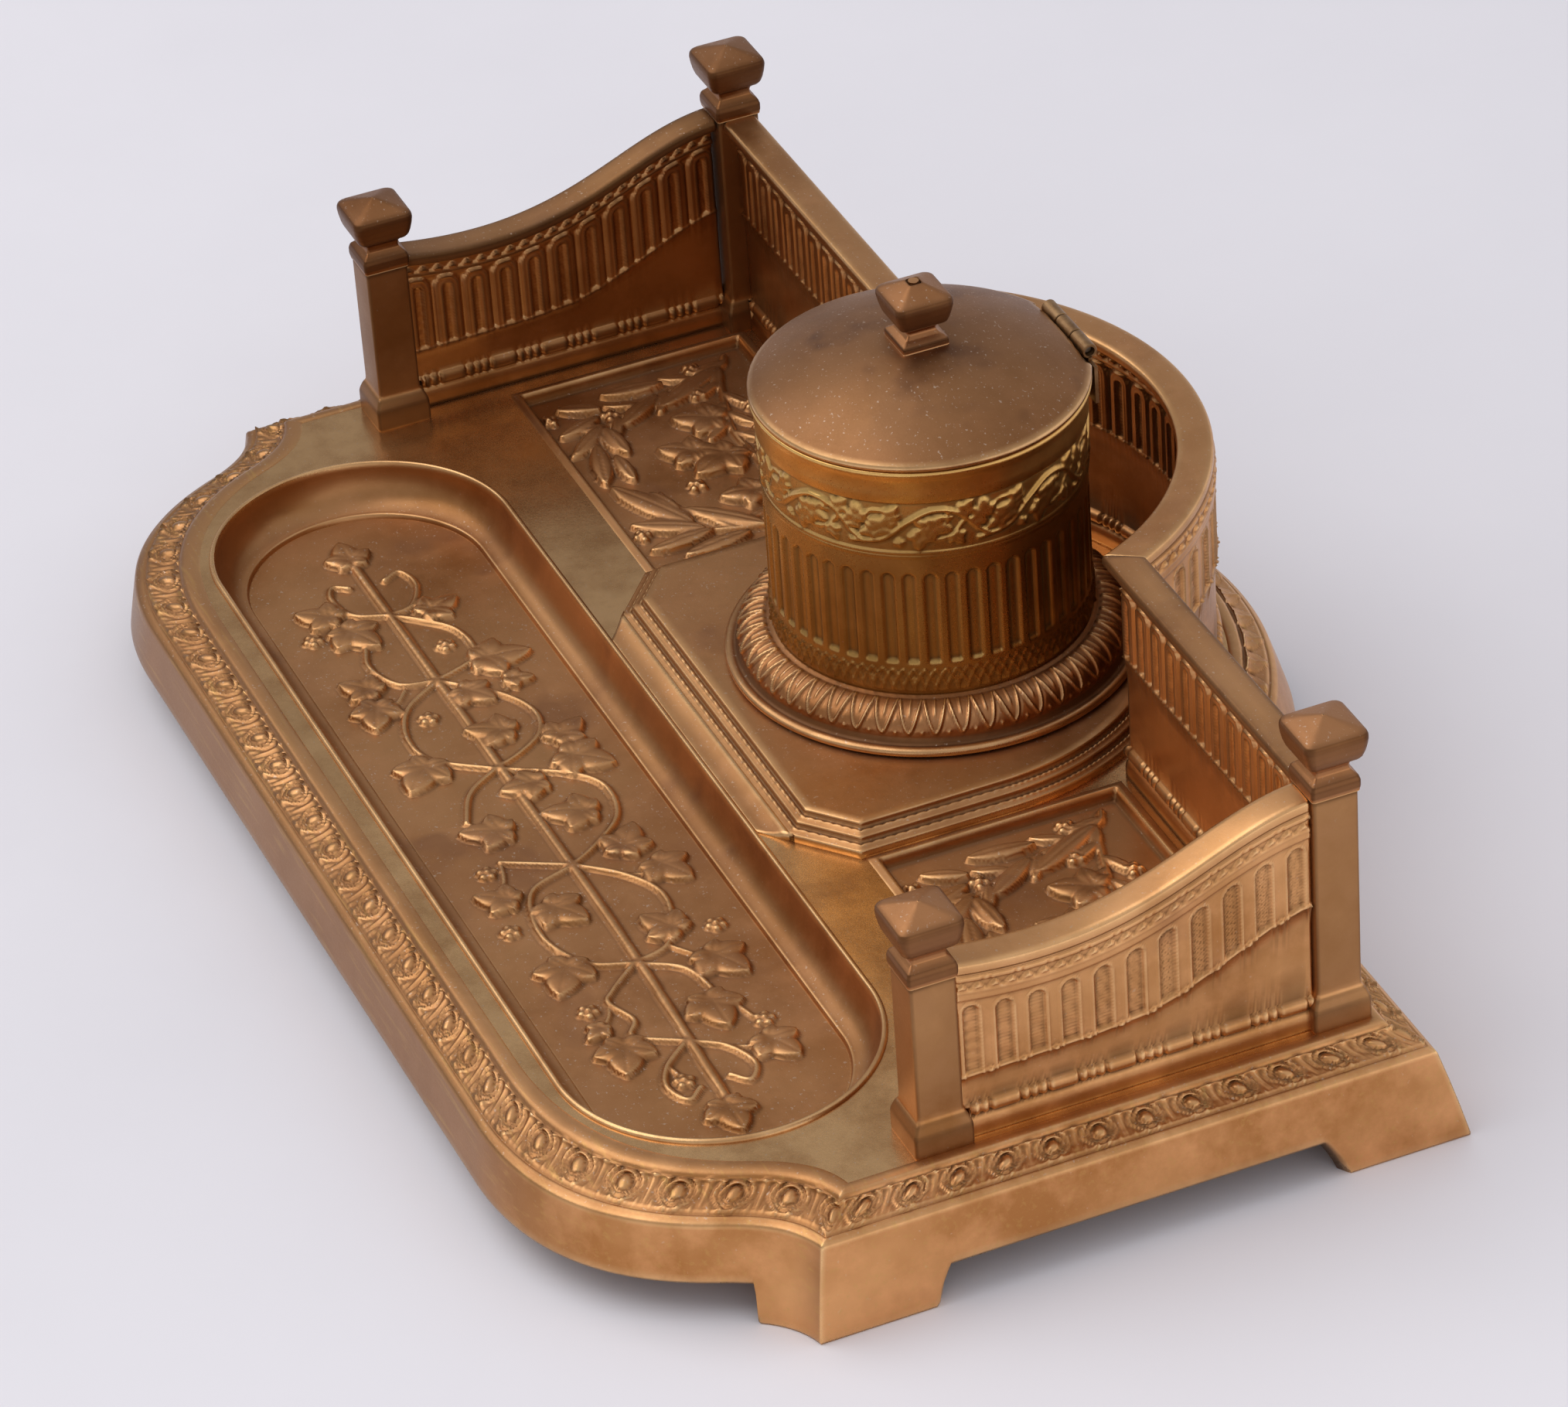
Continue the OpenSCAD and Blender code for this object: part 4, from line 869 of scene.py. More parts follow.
def stadium(radius, n=48):
    """Outline of the tray at a distance from its middle line."""
    turn = np.linspace(-math.pi / 2, math.pi / 2, n)
    right = np.stack([TRAY_C + radius * np.cos(turn), radius * np.sin(turn)], -1)
    return np.concatenate([right, -right]) + [0, TRAY_Y]


PLAQUE = (54.0, 127.0, -36.5, 12.9)  # window of the right one: x, then y


def window(side, inset):
    """Corners of a plaque's window in the deck, set in by so much."""
    x0, x1, y0, y1 = PLAQUE
    x0, x1, y0, y1 = x0 + inset, x1 - inset, y0 + inset, y1 - inset
    return [(side * x, y) for x, y in ((x0, y0), (x1, y0), (x1, y1), (x0, y1))]


def make_deck(material):
    """The flat of the deck, with openings for the tray and the plaques."""
    inset = DECK_LINE - np.sign(DECK_LINE) * 2.2
    half = [outline_part(inset, part, even_shares(part, 1.5)[:-1]) for part in range(6)]
    half = np.concatenate(half + [outline_part(inset, BULGE, np.array([1.0]))])
    line = np.concatenate([half, half[-2:0:-1] * [-1, 1]])
    holes = [stadium(TRAY_R - 0.9), window(1, 0.5), window(-1, 0.5)]
    flat_plate("base_deck", [line] + holes, DECK - 4, DECK, material)


def stadium_rings(section, pitch):
    """Sweeps a section of (distance from the middle line, height) round the tray."""
    arc = max(24, int(math.pi * TRAY_R / pitch))
    run = max(8, int(2 * TRAY_C / (pitch * 2)))
    turn = np.linspace(-math.pi / 2, math.pi / 2, arc)
    stations = [(TRAY_C, math.cos(a), math.sin(a)) for a in turn]
    stations += [(x, 0.0, 1.0) for x in np.linspace(TRAY_C, -TRAY_C, run)[1:-1]]
    stations += [(-TRAY_C, -math.cos(a), -math.sin(a)) for a in turn]
    stations += [(x, 0.0, -1.0) for x in np.linspace(-TRAY_C, TRAY_C, run)[1:-1]]
    return np.array([[(x + d * cx, TRAY_Y + d * cy, z) for d, z in section]
                     for x, cx, cy in stations])


def make_tray(material):
    """Rolled rim, hollow wall and the small lip round the tray's floor."""
    r, f, low_z = TRAY_R, FLOOR_R, TRAY_FLOOR
    section = [(r + out, DECK + up) for out, up in (
        (0.2, -1.5), (0.2, 0.1), (0.05, 0.5), (-0.35, 0.78), (-0.75, 0.78), (-1.0, 0.5))]
    reach, drop = r - f - 1.5, DECK - low_z - 0.7  # of the hollow wall's quarter round
    section += [(r - 1.1 - reach * (1 - math.cos(a)), DECK + 0.2 - drop * math.sin(a))
                for a in np.linspace(0.1, math.pi / 2, 20)]
    section += [(f + out, low_z + up) for out, up in (
        (0.3, 0.75), (0.15, 0.5), (0.05, 0.1), (-0.1, -0.4), (0.0, -1.4))]
    section += [(r - 0.8, low_z - 1.4), (r + 0.1, low_z + 3.0)]
    rings = stadium_rings(section, 1.0)
    add_loops("tray_rim", rings, material, "stand", closed=True, node="pen_tray")


# Scroll of the tray's floor, from the tray's middle, and where its curls cross its stem
KNOT = ((-76.8, -0.7), (-51.1, -0.3), (-18.0, -0.9), (18.0, 0.6), (51.8, -0.9), (77.8, -1.3))
SCROLL_STEMS = (
    [KNOT[0], (-80.2, -6.9), (-87.1, -8.8), (-91.3, -7.3), (-89.7, -4.3)],
    [KNOT[0], (-78.1, 4.7), (-84.7, 8.1), (-90.5, 6.7), (-89.1, 3.0)],
    [KNOT[1], (-53.3, -7.3), (-61.4, -10.4), (-68.6, -8.6)],
    [KNOT[0], (-72.5, 4.3), (-65.5, 9.6), (-55.7, 9.4), KNOT[1]],
    [KNOT[1], (-44.5, -8.9), (-35.2, -12.4), (-26.3, -10.6), KNOT[2]],
    [KNOT[1], (-41.3, 9.0), (-32.9, 12.7), (-25.7, 11.2), (-20.9, 5.4), KNOT[2]],
    [KNOT[2], (-12.6, -8.2), (-4.0, -12.3)],
    [KNOT[2], (-10.3, 10.7), (-3.1, 15.5), (6.9, 14.0), (13.8, 7.0), KNOT[3]],
    [KNOT[3], (10.9, -11.3)],
    [KNOT[3], (21.9, -8.9), (30.4, -12.3), (39.2, -12.4), (47.8, -8.4), KNOT[4]],
    [KNOT[3], (24.7, 7.6), (32.9, 11.9), (41.3, 11.0), (49.3, 6.8), KNOT[4]],
    [KNOT[4], (57.6, -7.4), (60.8, -9.5), (67.6, -7.3), (72.2, -9.2), KNOT[5]],
    [KNOT[4], (57.3, 6.8), (66.2, 8.9), (71.3, 7.6)],
    [KNOT[5], (83.1, -7.1), (88.7, -9.5), (93.9, -7.5), (91.5, -4.1)],
    [KNOT[5], (82.3, 4.6), (89.3, 7.4), (93.5, 4.8), (90.6, 2.0)],
)
# Leaves: x, y, bearing of the tip in degrees, distance from middle to tip
SCROLL_LEAVES = (
    (-101.4, -0.8, 180, 5.0), (102.2, -2.1, 0, 5.4), (-83.1, -13.8, -126, 5.2),
    (-71.8, -8.3, 27, 6.0), (-75.3, 9.8, 111, 5.0), (-53.0, 14.5, 81, 6.4),
    (-44.0, 14.5, 70, 3.4), (-55.8, -15.1, -135, 4.9), (-44.7, -15.3, -21, 5.4),
    (-42.6, 5.1, 36, 4.9), (-30.5, 2.2, -118, 5.4), (-23.7, 16.4, 122, 4.9),
    (-12.5, 16.2, 47, 6.4), (-21.8, -15.0, -39, 6.2), (-10.0, 1.1, -93, 5.0),
    (1.8, 5.8, -112, 5.8), (0.6, -10.7, -111, 5.6), (14.8, 13.0, 145, 5.5),
    (21.3, -16.6, -126, 4.8), (28.3, 16.6, 29, 5.6), (31.6, -6.0, 34, 5.8),
    (42.6, 7.9, -146, 5.3), (59.5, 14.6, 27, 6.2), (50.4, -14.2, -30, 6.2),
    (68.5, -15.1, -60, 3.0), (77.8, -13.1, -19, 6.0), (72.4, 7.2, 2, 6.0),
    (87.3, 13.6, 25, 5.4),
)
SCROLL_BERRIES = ((-75.6, -17.0), (-61.9, 5.6), (-39.9, -6.3), (12.9, -14.7), (32.1, -17.5),
                  (47.5, 17.2), (61.4, -13.8), (78.1, 13.9), (88.5, -6.1))
STALKS = (  # short stalks from a stem to a leaf
    (-68.6, -8.6, -71.8, -8.3), (-80.2, -6.9, -83.1, -11.0), (-78.1, 4.7, -75.3, 7.0),
    (-55.7, 9.4, -53.0, 11.0), (-61.4, -10.4, -57.0, -12.6), (-51.1, -7.0, -46.0, -12.6),
    (-41.3, 9.0, -44.0, 12.0), (-25.7, 11.2, -24.0, 14.0), (-10.3, 10.7, -12.5, 13.6),
    (-26.3, -10.6, -22.6, -12.6), (-4.0, -12.3, -0.5, -11.0), (13.8, 7.0, 14.4, 10.0),
    (10.9, -11.3, 20.0, -14.5), (24.7, 7.6, 27.6, 13.6), (39.2, -12.4, 47.0, -12.6),
    (49.3, 6.8, 57.0, 12.0), (60.8, -9.5, 67.0, -13.0), (72.2, -9.2, 76.0, -11.5),
    (66.2, 8.9, 78.0, 12.8), (82.3, 4.6, 85.6, 11.0), (83.1, -7.1, 88.0, -6.4),
)


def make_tray_floor(material):
    """The floor with its ivy scroll, drawn about the tray's middle."""
    relief = Relief(-113.6, 113.6, -24.2, 24.2, 0.36)
    relief.stem([(-98.0, -0.6), (-40.0, 0.0), (40.0, 0.4), (98.0, -1.2)], 1.1, 0.9)
    for points in SCROLL_STEMS:
        relief.stem(points, 0.75, 0.9)
    for x0, y0, x1, y1 in STALKS:
        relief.stem([(x0, y0), ((x0 + x1) / 2 + 0.4, (y0 + y1) / 2 + 0.4), (x1, y1)], 0.6, 0.65)
    for x, y, turn, tip in SCROLL_LEAVES:
        relief.ivy(x, y, turn, 0.93 * tip, 1.35)
    for x, y in SCROLL_BERRIES:
        relief.berries(x, y, 1.0, 1.0)
    x, y = relief.grid()
    keep = np.hypot(np.maximum(np.abs(x) - TRAY_C, 0), y) < FLOOR_R + 0.55
    relief.y = relief.y + TRAY_Y
    add_relief("tray_floor", relief, TRAY_FLOOR, keep, material)


# ---- plaques -------------------------------------------------------------------

# Spray of a plaque, with places from its front left corner
SPRAY_STEMS = (
    [(4.0, 44.0), (7.7, 41.1), (10.9, 28.3), (15.2, 16.0), (19.2, 10.4), (24.6, 7.9)],
    [(7.7, 41.1), (17.0, 38.2), (24.2, 36.3), (31.6, 34.7), (44.0, 35.1), (56.0, 33.0),
     (66.0, 26.5)],
    [(66.0, 26.5), (62.0, 16.4), (56.4, 11.9), (48.4, 8.6)],
)
SPRAY_LONG = (  # foot and tip of each long leaf
    (7.9, 40.8, 16.1, 25.2), (11.6, 26.1, 18.9, 15.2), (17.4, 11.7, 24.4, 3.0),
    (11.1, 14.1, 6.9, 5.5), (13.6, 12.5, 17.1, 2.4), (18.2, 11.8, 29.2, 12.8),
    (23.4, 8.0, 37.6, 4.4), (28.7, 9.8, 38.9, 10.0), (59.1, 14.4, 39.0, 4.7),
    (53.9, 13.6, 44.6, 10.8), (66.3, 27.1, 53.3, 15.0), (61.8, 16.0, 53.8, 3.0),
    (63.0, 17.0, 64.1, 3.0), (67.0, 23.6, 68.8, 8.5), (7.9, 28.8, 6.1, 15.5),
)
SPRAY_LOBED = ((23.6, 29.4, -118, 6.2), (33.2, 22.0, -125, 5.8), (40.4, 26.8, -62, 6.8),
               (53.4, 27.0, -100, 5.4), (58.6, 38.6, 30, 5.0))
SPRAY_BERRIES = ((10.0, 2.8), (13.8, 14.7), (14.9, 33.6), (5.4, 36.1), (46.3, 20.4),
                 (58.2, 3.6), (23.1, 41.6), (33.3, 39.6), (38.1, 38.4))


def make_plaque(side, material):
    """A sunk plate with a moulded edge and a spray of leaves, drawn from its corner."""
    x0, x1, y0, y1 = PLAQUE
    wide, deep, lap, drop = x1 - x0, y1 - y0, 1.6, 2.0
    relief = Relief(-lap, wide + lap, -lap, deep + lap, 0.36)
    for points in SPRAY_STEMS:
        relief.stem(points, 0.9, 1.1, 0.7)
        line = smooth_line(points, 7.0)
        for k, (x, y) in enumerate(line[1:-1]):  # small leaves on either side by turns
            ahead = line[k + 2] - line[k]
            angle = math.atan2(ahead[1], ahead[0]) + (0.75 if k % 2 else -0.75)
            relief.blade(x, y, angle, 8.0, 3.0, 1.25)
    for x, y, tip_x, tip_y in SPRAY_LONG:
        reach = math.hypot(tip_x - x, tip_y - y)
        angle = math.atan2(tip_y - y, tip_x - x)
        relief.blade(x, y, angle, reach, 1.8 + 0.21 * reach, 1.6)
    for x, y, turn, tip in SPRAY_LOBED:
        relief.ivy(x, y, turn, 0.9 * tip, 1.7)
    for x, y in SPRAY_BERRIES:
        relief.berries(x, y, 1.0, 1.3, 4)
    x, y = relief.grid()
    inside = np.minimum.reduce([x, wide - x, y, deep - y])
    frame = drop + 0.5 * step(inside, -lap, 0.4) - (drop + 0.5) * step(inside, 0.4, 1.5)
    frame = np.where(inside < 0.1 - lap, drop - 0.3, frame)
    relief.h = np.maximum(frame, relief.h * step(inside, 1.4, 2.2))
    relief.x = relief.x + (x0 if side > 0 else -x1)
    relief.y = relief.y + y0
    name = "right" if side > 0 else "left"
    add_relief("plaque_" + name, relief, DECK - drop, np.ones(relief.h.shape, bool), material,
               bottom=1.5, node="floor_plaque_" + name)


# ---- platform ------------------------------------------------------------------

STEP_RUN = 2.0
# Section of the apron: how far in front of the platform, and height over the deck
APRON = ((4.7, -0.1), (4.7, 0.25), (4.1, 0.35), (3.0, 0.5), (1.9, 0.8), (1.0, 1.2),
         (0.4, 1.6), (-0.7, 1.65), (-0.7, -0.1))


def step_section(rise):
    """Inset and height up the platform's three steps, with a bead on the lower two."""
    section = [(0.0, -0.8)]
    for k in range(3):
        at, z = STEP_RUN * k, rise * (k + 1)
        section += [(at, z - 0.45), (at + 0.1, z - 0.15), (at + 0.35, z)]
        if k < 2:
            section += [(at + 1.0, z), (at + 1.15, z + 0.28), (at + 1.45, z + 0.42),
                        (at + 1.75, z + 0.3), (at + 1.95, z)]
    return np.array(section + [(3 * STEP_RUN, 3 * rise), (3 * STEP_RUN + 3.0, 3 * rise)])


def make_platform(material):
    """Three mitred steps up to a flat top, and the apron in front."""
    r, f, c = PLAT_R, PLAT_FRONT, PLAT_CHAMFER
    rise = (PLAT_TOP - DECK) / 3
    slant = np.array([-c, c + 2.0]) / math.hypot(c, c + 2.0)
    half = [(0.0, -f, 0.0, 1.0), (r - c - 2, -f, *mitred((0.0, 1.0), slant)),
            (r, c - f, *mitred(slant, (-1.0, 0.0))), (r, -BAY_FWD, -1.0, 0.0)]
    half += [(r * math.cos(a), -BAY_FWD + r * math.sin(a), -math.cos(a), -math.sin(a))
             for a in np.linspace(0, math.pi / 2, 90)[1:]]
    half = filled(np.array(half), 0.8)  # place, and the way inward from it
    whole = np.concatenate([half, half[-2:0:-1] * [-1, 1, -1, 1]])
    line = step_section(rise)
    flat = whole[:, None, :2] + whole[:, None, 2:] * line[None, :, :1]
    heights = np.broadcast_to(DECK + line[:, 1], flat.shape[:2])
    rings = np.concatenate([flat, heights[..., None]], -1)
    bead = (line[:, 1] % rise > 0.1) & (line[:, 0] % STEP_RUN > 1.1)
    rings[:, bead, 2] += 0.12 * np.sin(np.arange(len(whole)) * 2.1)[:, None]
    rows, columns = rings.shape[:2]
    faces = grid_faces(rows, columns, close_rows=True)
    faces.append([k * columns + columns - 1 for k in range(rows)])
    faces.append([k * columns for k in range(rows - 1, -1, -1)])
    add_mesh("platform_cast", place(rings.reshape(-1, 3)), faces, material, "stand",
             node="well_platform")
    half_width = r - c - 2
    loops = [[(t * (half_width - out * (c + 2) / c), -f - out, DECK + z) for out, z in APRON]
             for t in np.linspace(-1, 1, 80)]
    add_loops("platform_apron", loops, material, "stand", node="well_platform")


def mitred(a, b):
    """Way of a mitred corner between two unit inward ways, scaled to keep the offset."""
    a, b = np.asarray(a, float), np.asarray(b, float)
    return (a + b) / (1 + a @ b)


# ---- posts and finials ---------------------------------------------------------

def square_rings(profile, segments=6):
    """Rounded square rings from (half width, height, corner radius) points."""
    turn = np.linspace(0, math.pi / 2, segments)
    rings = []
    for w, z, r in profile:
        r = min(r, w * 0.7)
        ring = []
        for k, (sx, sy) in enumerate(((1, 1), (-1, 1), (-1, -1), (1, -1))):
            for a in turn + k * math.pi / 2:
                ring.append(((w - r) * sx + r * math.cos(a), (w - r) * sy + r * math.sin(a), z))
        rings.append(ring)
    return np.array(rings)


def add_square(name, profile, x, y, material, body, node):
    """A solid of square rings round an upright through (x, y)."""
    rings = square_rings(profile) + [x, y, 0]
    rows, columns = rings.shape[:2]
    faces = grid_faces(rows, columns, close_columns=True)
    faces.append(list(range(columns))[::-1])
    faces.append([(rows - 1) * columns + i for i in range(columns)])
    add_mesh(name, place(rings.reshape(-1, 3)), faces, material, body, node=node)


# Half width, height above its seat and corner radius, up a post's finial and the lid's
POST_FINIAL = (
    (4.65, 0.0, 0.6), (4.85, 1.0, 0.7), (4.85, 2.2, 0.7), (4.55, 3.1, 0.6), (3.9, 3.7, 0.5),
    (3.4, 4.3, 0.5), (3.3, 5.0, 0.5), (3.5, 5.8, 0.6), (4.1, 6.4, 0.8), (4.9, 6.9, 1.1),
    (5.4, 7.5, 1.4), (5.8, 8.6, 1.6), (6.1, 10.0, 1.7), (6.25, 11.3, 1.7), (6.2, 12.0, 1.7),
    (6.0, 12.5, 1.7), (5.4, 12.95, 1.6), (4.4, 13.35, 1.4), (3.2, 13.75, 1.1), (1.6, 14.3, 0.7),
    (0.5, 14.65, 0.3), (0.1, 14.7, 0.1),
)
LID_FINIAL = (
    (4.7, 0.0, 0.6), (4.7, 1.3, 0.6), (4.3, 1.6, 0.5), (3.4, 2.2, 0.5), (2.9, 2.9, 0.5),
    (2.85, 3.4, 0.5), (3.3, 4.0, 0.6), (4.2, 4.6, 0.9), (4.8, 5.1, 1.1), (5.2, 6.0, 1.4),
    (5.6, 7.4, 1.6), (5.9, 8.9, 1.7), (5.9, 9.6, 1.7), (5.7, 10.1, 1.7), (5.2, 10.5, 1.6),
    (4.4, 10.9, 1.3), (3.2, 11.5, 1.0), (1.7, 12.3, 0.6), (1.3, 12.5, 0.5), (1.2, 12.35, 0.5),
)


def finial_line(shape, seat):
    return filled(eased([(w, seat + up, r) for w, up, r in shape], 0.2), 0.5)


def post_line(top):
    """Half width, height and corner radius up a post: plinth, sloped shoulder and shaft."""
    line = [(PLINTH - 0.15, DECK - 0.5), (PLINTH, DECK + 0.4), (PLINTH, DECK + 4.4),
            (PLINTH - 0.35, DECK + 5.5), (SHAFT + 0.55, DECK + 6.5), (SHAFT + 0.1, DECK + 7.1),
            (SHAFT, DECK + 8.0), (SHAFT, top - 1.2), (SHAFT, top - 0.25), (SHAFT - 0.3, top)]
    return filled(eased([(w, z, 0.7) for w, z in line], 0.7), 1.5)


def make_posts(material, finial_finish):
    for side, x in (("left", -POST_X), ("right", POST_X)):
        for end, y, top in (("front", FRONT_POST_Y, FRONT_TOP), ("rear", BACK_POST_Y, BACK_TOP)):
            name = f"{end}_{side}"
            add_square(f"post_{name}_cast", post_line(top), x, y, material, "stand",
                       f"post_{name}")
            add_square(f"finial_{name}_cast", finial_line(POST_FINIAL, top), x, y,
                       finial_finish, "stand", f"finial_{name}")


# ---- gallery -------------------------------------------------------------------

FLUTE = 6.27  # pitch of the gallery's tongues
TONGUE, SLOT = 2.95, 1.0  # half widths of a tongue and its slot
ORNAMENT = 4 - RAIL_T  # its heights run down from this far over


def side_top(y):
    """Top of a side panel's rail at a distance along it."""
    y0, y1 = FRONT_POST_Y + SHAFT + FIT, BACK_POST_Y - SHAFT - SIDE_GAP
    z0, z1 = FRONT_TOP + 1.4, BACK_TOP
    run = y1 - y0
    p = bezier([(y0, z0), (y0 + run * 0.55, z0 - 6.8), (y0 + run * 0.7, z1 - 1.9), (y1, z1)],
               np.linspace(0, 1, 200))
    return np.interp(y, p[:, 0], p[:, 1])


# Scalloped line under a side panel's tongues: places along it, and heights
SCALLOP_Y = (-56.0, -30.0, -20.0, -14.3, -11.2, -5.2, -2.1, 4.0, 10.0, 12.0)
SCALLOP_Z = (36.7, 37.4, 38.3, 40.0, 41.3, 43.9, 45.4, 48.3, 50.2, 50.6)
SCALLOP_BACK = SCALLOP_Z[-1]  # and all along the rear
BASE_ROLL, BASE_BEADS = DECK + 2.1, DECK + 5.6  # heights of the two base mouldings
REEL = 11.2  # pitch of its barrels


def tongue_height(u, x, z, top, scallop, inner):
    """Raised tongues with round heads, deep gaps between and a ribbed slot in each."""
    down = top + ORNAMENT - z
    head = top + ORNAMENT - 8.6  # top of the tongues
    half = SLOT if inner else 1.7 * SLOT
    above = step(z, scallop - 0.2, scallop + 0.15)
    h = 0.3 * above * (down < 9.4)
    tongue = np.hypot(x, np.maximum(z - (head - TONGUE), 0))
    body = step(TONGUE - tongue, 0.0, 0.4) if inner else 1.0
    field = above * (z < head + 0.2)
    h += field * (0.4 * body - 0.3 * (1 - body))
    slot = np.hypot(x, np.maximum(z - (head - 2.1 - half), 0))
    inside = step(half - slot, 0.0, 0.35) * (z > scallop + 0.9) * (z < head - 1.0)
    ribs = 0.13 * np.cos(2 * math.pi * z / 0.8) + 0.05 * np.cos(z * 19 + u)
    collar = (0.2 if inner else 0.34) * bell(slot - half - 0.2, 0.35)
    return h + (inside * (ribs - 0.5) + collar * field)


def face_height(u, z, top, scallop, inner=False):
    """How far a gallery face stands out of its plate, along u and up z."""
    x = np.mod(u + FLUTE / 2, FLUTE) - FLUTE / 2  # from the nearest tongue's middle
    gap = FLUTE / 2 - np.abs(x)  # from the nearest gap's middle
    down = top + ORNAMENT - z
    h = tongue_height(u, x, z, top, scallop, inner)
    # a scalloped line under them, with a small bead below each gap
    over = z - scallop - 0.3
    h += 0.3 * bell(over, 0.4) + 0.45 * round_top(np.hypot(gap, over), 0.6)
    # under the rail: bead and barrel, a row of small leaves and a round fillet
    h += 0.5 * round_top(down - 7.75, 0.62) + 0.25 * bell(down - 4.2, 0.25)
    h += 0.62 * (0.8 - 0.5 * bell(gap - 0.75, 0.35)) * round_top(down - 5.05, 0.62)
    tooth = np.abs(np.mod(u, FLUTE / 2) - FLUTE / 4)
    share = np.clip((down - 5.75) / 1.2, 0, 1)
    h += 0.6 * step(1.25 * share - tooth, 0.0, 0.5) * (down > 5.8) * step(7.15 - down, 0, 0.2)
    # base moulding: a plain roll, then barrels with three thin beads between
    roll = np.maximum(round_top(z - BASE_ROLL, 1.95), z < BASE_ROLL)
    h += 0.85 * roll * (z < BASE_ROLL + 1.95)
    reel = np.mod(u + REEL / 2, REEL) - REEL / 2
    beads = np.maximum.reduce([round_top(reel - k * 1.7, 0.8) for k in (-1, 0, 1)])
    barrel = 0.95 * step(np.abs(reel), 2.65, 3.1)
    size = 0.25 + 0.75 * np.maximum(beads, barrel)
    return h + 1.15 * size * round_top(z - BASE_BEADS, 0.6 + 0.85 * size)


# Section of half the rail: distance from its middle, and height from its top
RAIL = ((RAIL_HALF - 0.12, 0.02 - RAIL_T), (RAIL_HALF, 0.3 - RAIL_T), (RAIL_HALF, -1.4),
        (RAIL_HALF, -0.75), (RAIL_HALF - 0.2, -0.3), (RAIL_HALF - 0.6, -0.06),
        (RAIL_HALF - 1.4, 0.0), (0.0, 0.02))
ROWS = (12, 16, 6, 44, 9, 16)  # points between a face's landmarks


def gallery_section(u, top, scallop):
    """Offsets and heights of a closed section: outer face, rail, inner face."""
    up = top + ORNAMENT
    marks = [DECK + 0.05, 28.0, 31.2, scallop, up - 9.3, up - 7.0, up - 4.15, top - RAIL_T]
    z = [np.linspace(a, b, n)[:-1] for a, b, n in zip(marks, marks[1:], ROWS)]
    z = np.concatenate(z + [marks[-2:]])
    outer = PLATE_OUT + face_height(u, z, top, scallop)
    inner = PLATE_IN - face_height(u, z, top, scallop, inner=True)
    over = np.array(RAIL + tuple((-out, up) for out, up in RAIL[-2::-1]))
    return (np.concatenate([outer, over[:, 0], inner[::-1]]),
            np.concatenate([z, top + over[:, 1], z[::-1]]))


def gallery_loops(centres, ways, along, top, scallop):
    """Section loops of a gallery wall, from its middle line and the way outward from it."""
    loops = []
    for centre, way, *place_on in zip(centres, ways, along, top, scallop):
        offset, height = gallery_section(*place_on)
        loops.append(np.column_stack([centre + np.outer(offset, way), height]))
    return np.array(loops)


def over_plinth(loops, to_post):
    """Lifts the sections that pass over a post's plinth clear of it."""
    over = np.abs(to_post) < PLINTH + PLINTH_GAP
    loops[over, :, 2] = np.maximum(loops[over, :, 2], OVER_PLINTH)
    return loops


def make_side(side, material):
    y0, y1 = FRONT_POST_Y + SHAFT + FIT + 0.02, BACK_POST_Y - SHAFT - SIDE_GAP
    y = np.linspace(y0, y1, int((y1 - y0) / 0.36))
    sx = 1 if side == "right" else -1
    loops = gallery_loops([(sx * POST_X, v) for v in y], [(sx, 0)] * len(y), y + 53.4,
                          side_top(y), np.interp(y, SCALLOP_Y, SCALLOP_Z))
    add_loops(f"side_panel_{side}_cast", over_plinth(loops, y - FRONT_POST_Y), material,
              "stand", node=f"side_panel_{side}")


MITRE_RUN = 5.0


def make_rear(material):
    """Two straight wings and the curved bay, mitred where they meet."""
    start = math.asin((BACK_POST_Y + BAY_FWD) / BAY_R)
    mitre = mitred((0.0, 1.0), (math.cos(start), math.sin(start)))
    x0, x1 = BAY_R * math.cos(start), POST_X - SHAFT - FIT
    x = np.linspace(x0, x1, int((x1 - x0) / 0.38))
    # a mitre spreads over the first stations, so that no section folds back
    share = np.clip((x - x0) / MITRE_RUN, 0, 1)[:, None]
    ways = mitre * (1 - share) + np.array((0.0, 1.0)) * share
    centres = np.column_stack([x, np.full(len(x), BACK_POST_Y)])
    for side, flip in (("left", (-1, 1)), ("right", (1, 1))):
        loops = gallery_loops(centres * flip, ways * flip, x1 - x, np.full(len(x), BACK_TOP),
                              np.full(len(x), SCALLOP_BACK))
        add_loops(f"rear_wing_{side}", over_plinth(loops, x - POST_X), material, "stand",
                  node="rear_gallery")
    turn = np.linspace(start, math.pi - start, int(BAY_R * (math.pi - 2 * start) / 0.4))
    share = np.clip(np.minimum(turn - start, math.pi - start - turn) * BAY_R / MITRE_RUN, 0, 1)
    plain = np.column_stack([np.cos(turn), np.sin(turn)])
    flip = np.column_stack([np.where(turn < math.pi / 2, 1, -1), np.ones(len(turn))])
    ways = plain * share[:, None] + mitre * flip * (1 - share[:, None])
    loops = gallery_loops(plain * BAY_R - [0, BAY_FWD], ways,
                          (turn - math.pi / 2) * BAY_R + FLUTE / 2,
                          np.full(len(turn), BACK_TOP), np.full(len(turn), SCALLOP_BACK))
    add_loops("rear_bay", loops, material, "stand", node="rear_gallery")


# ---- inkwell -------------------------------------------------------------------

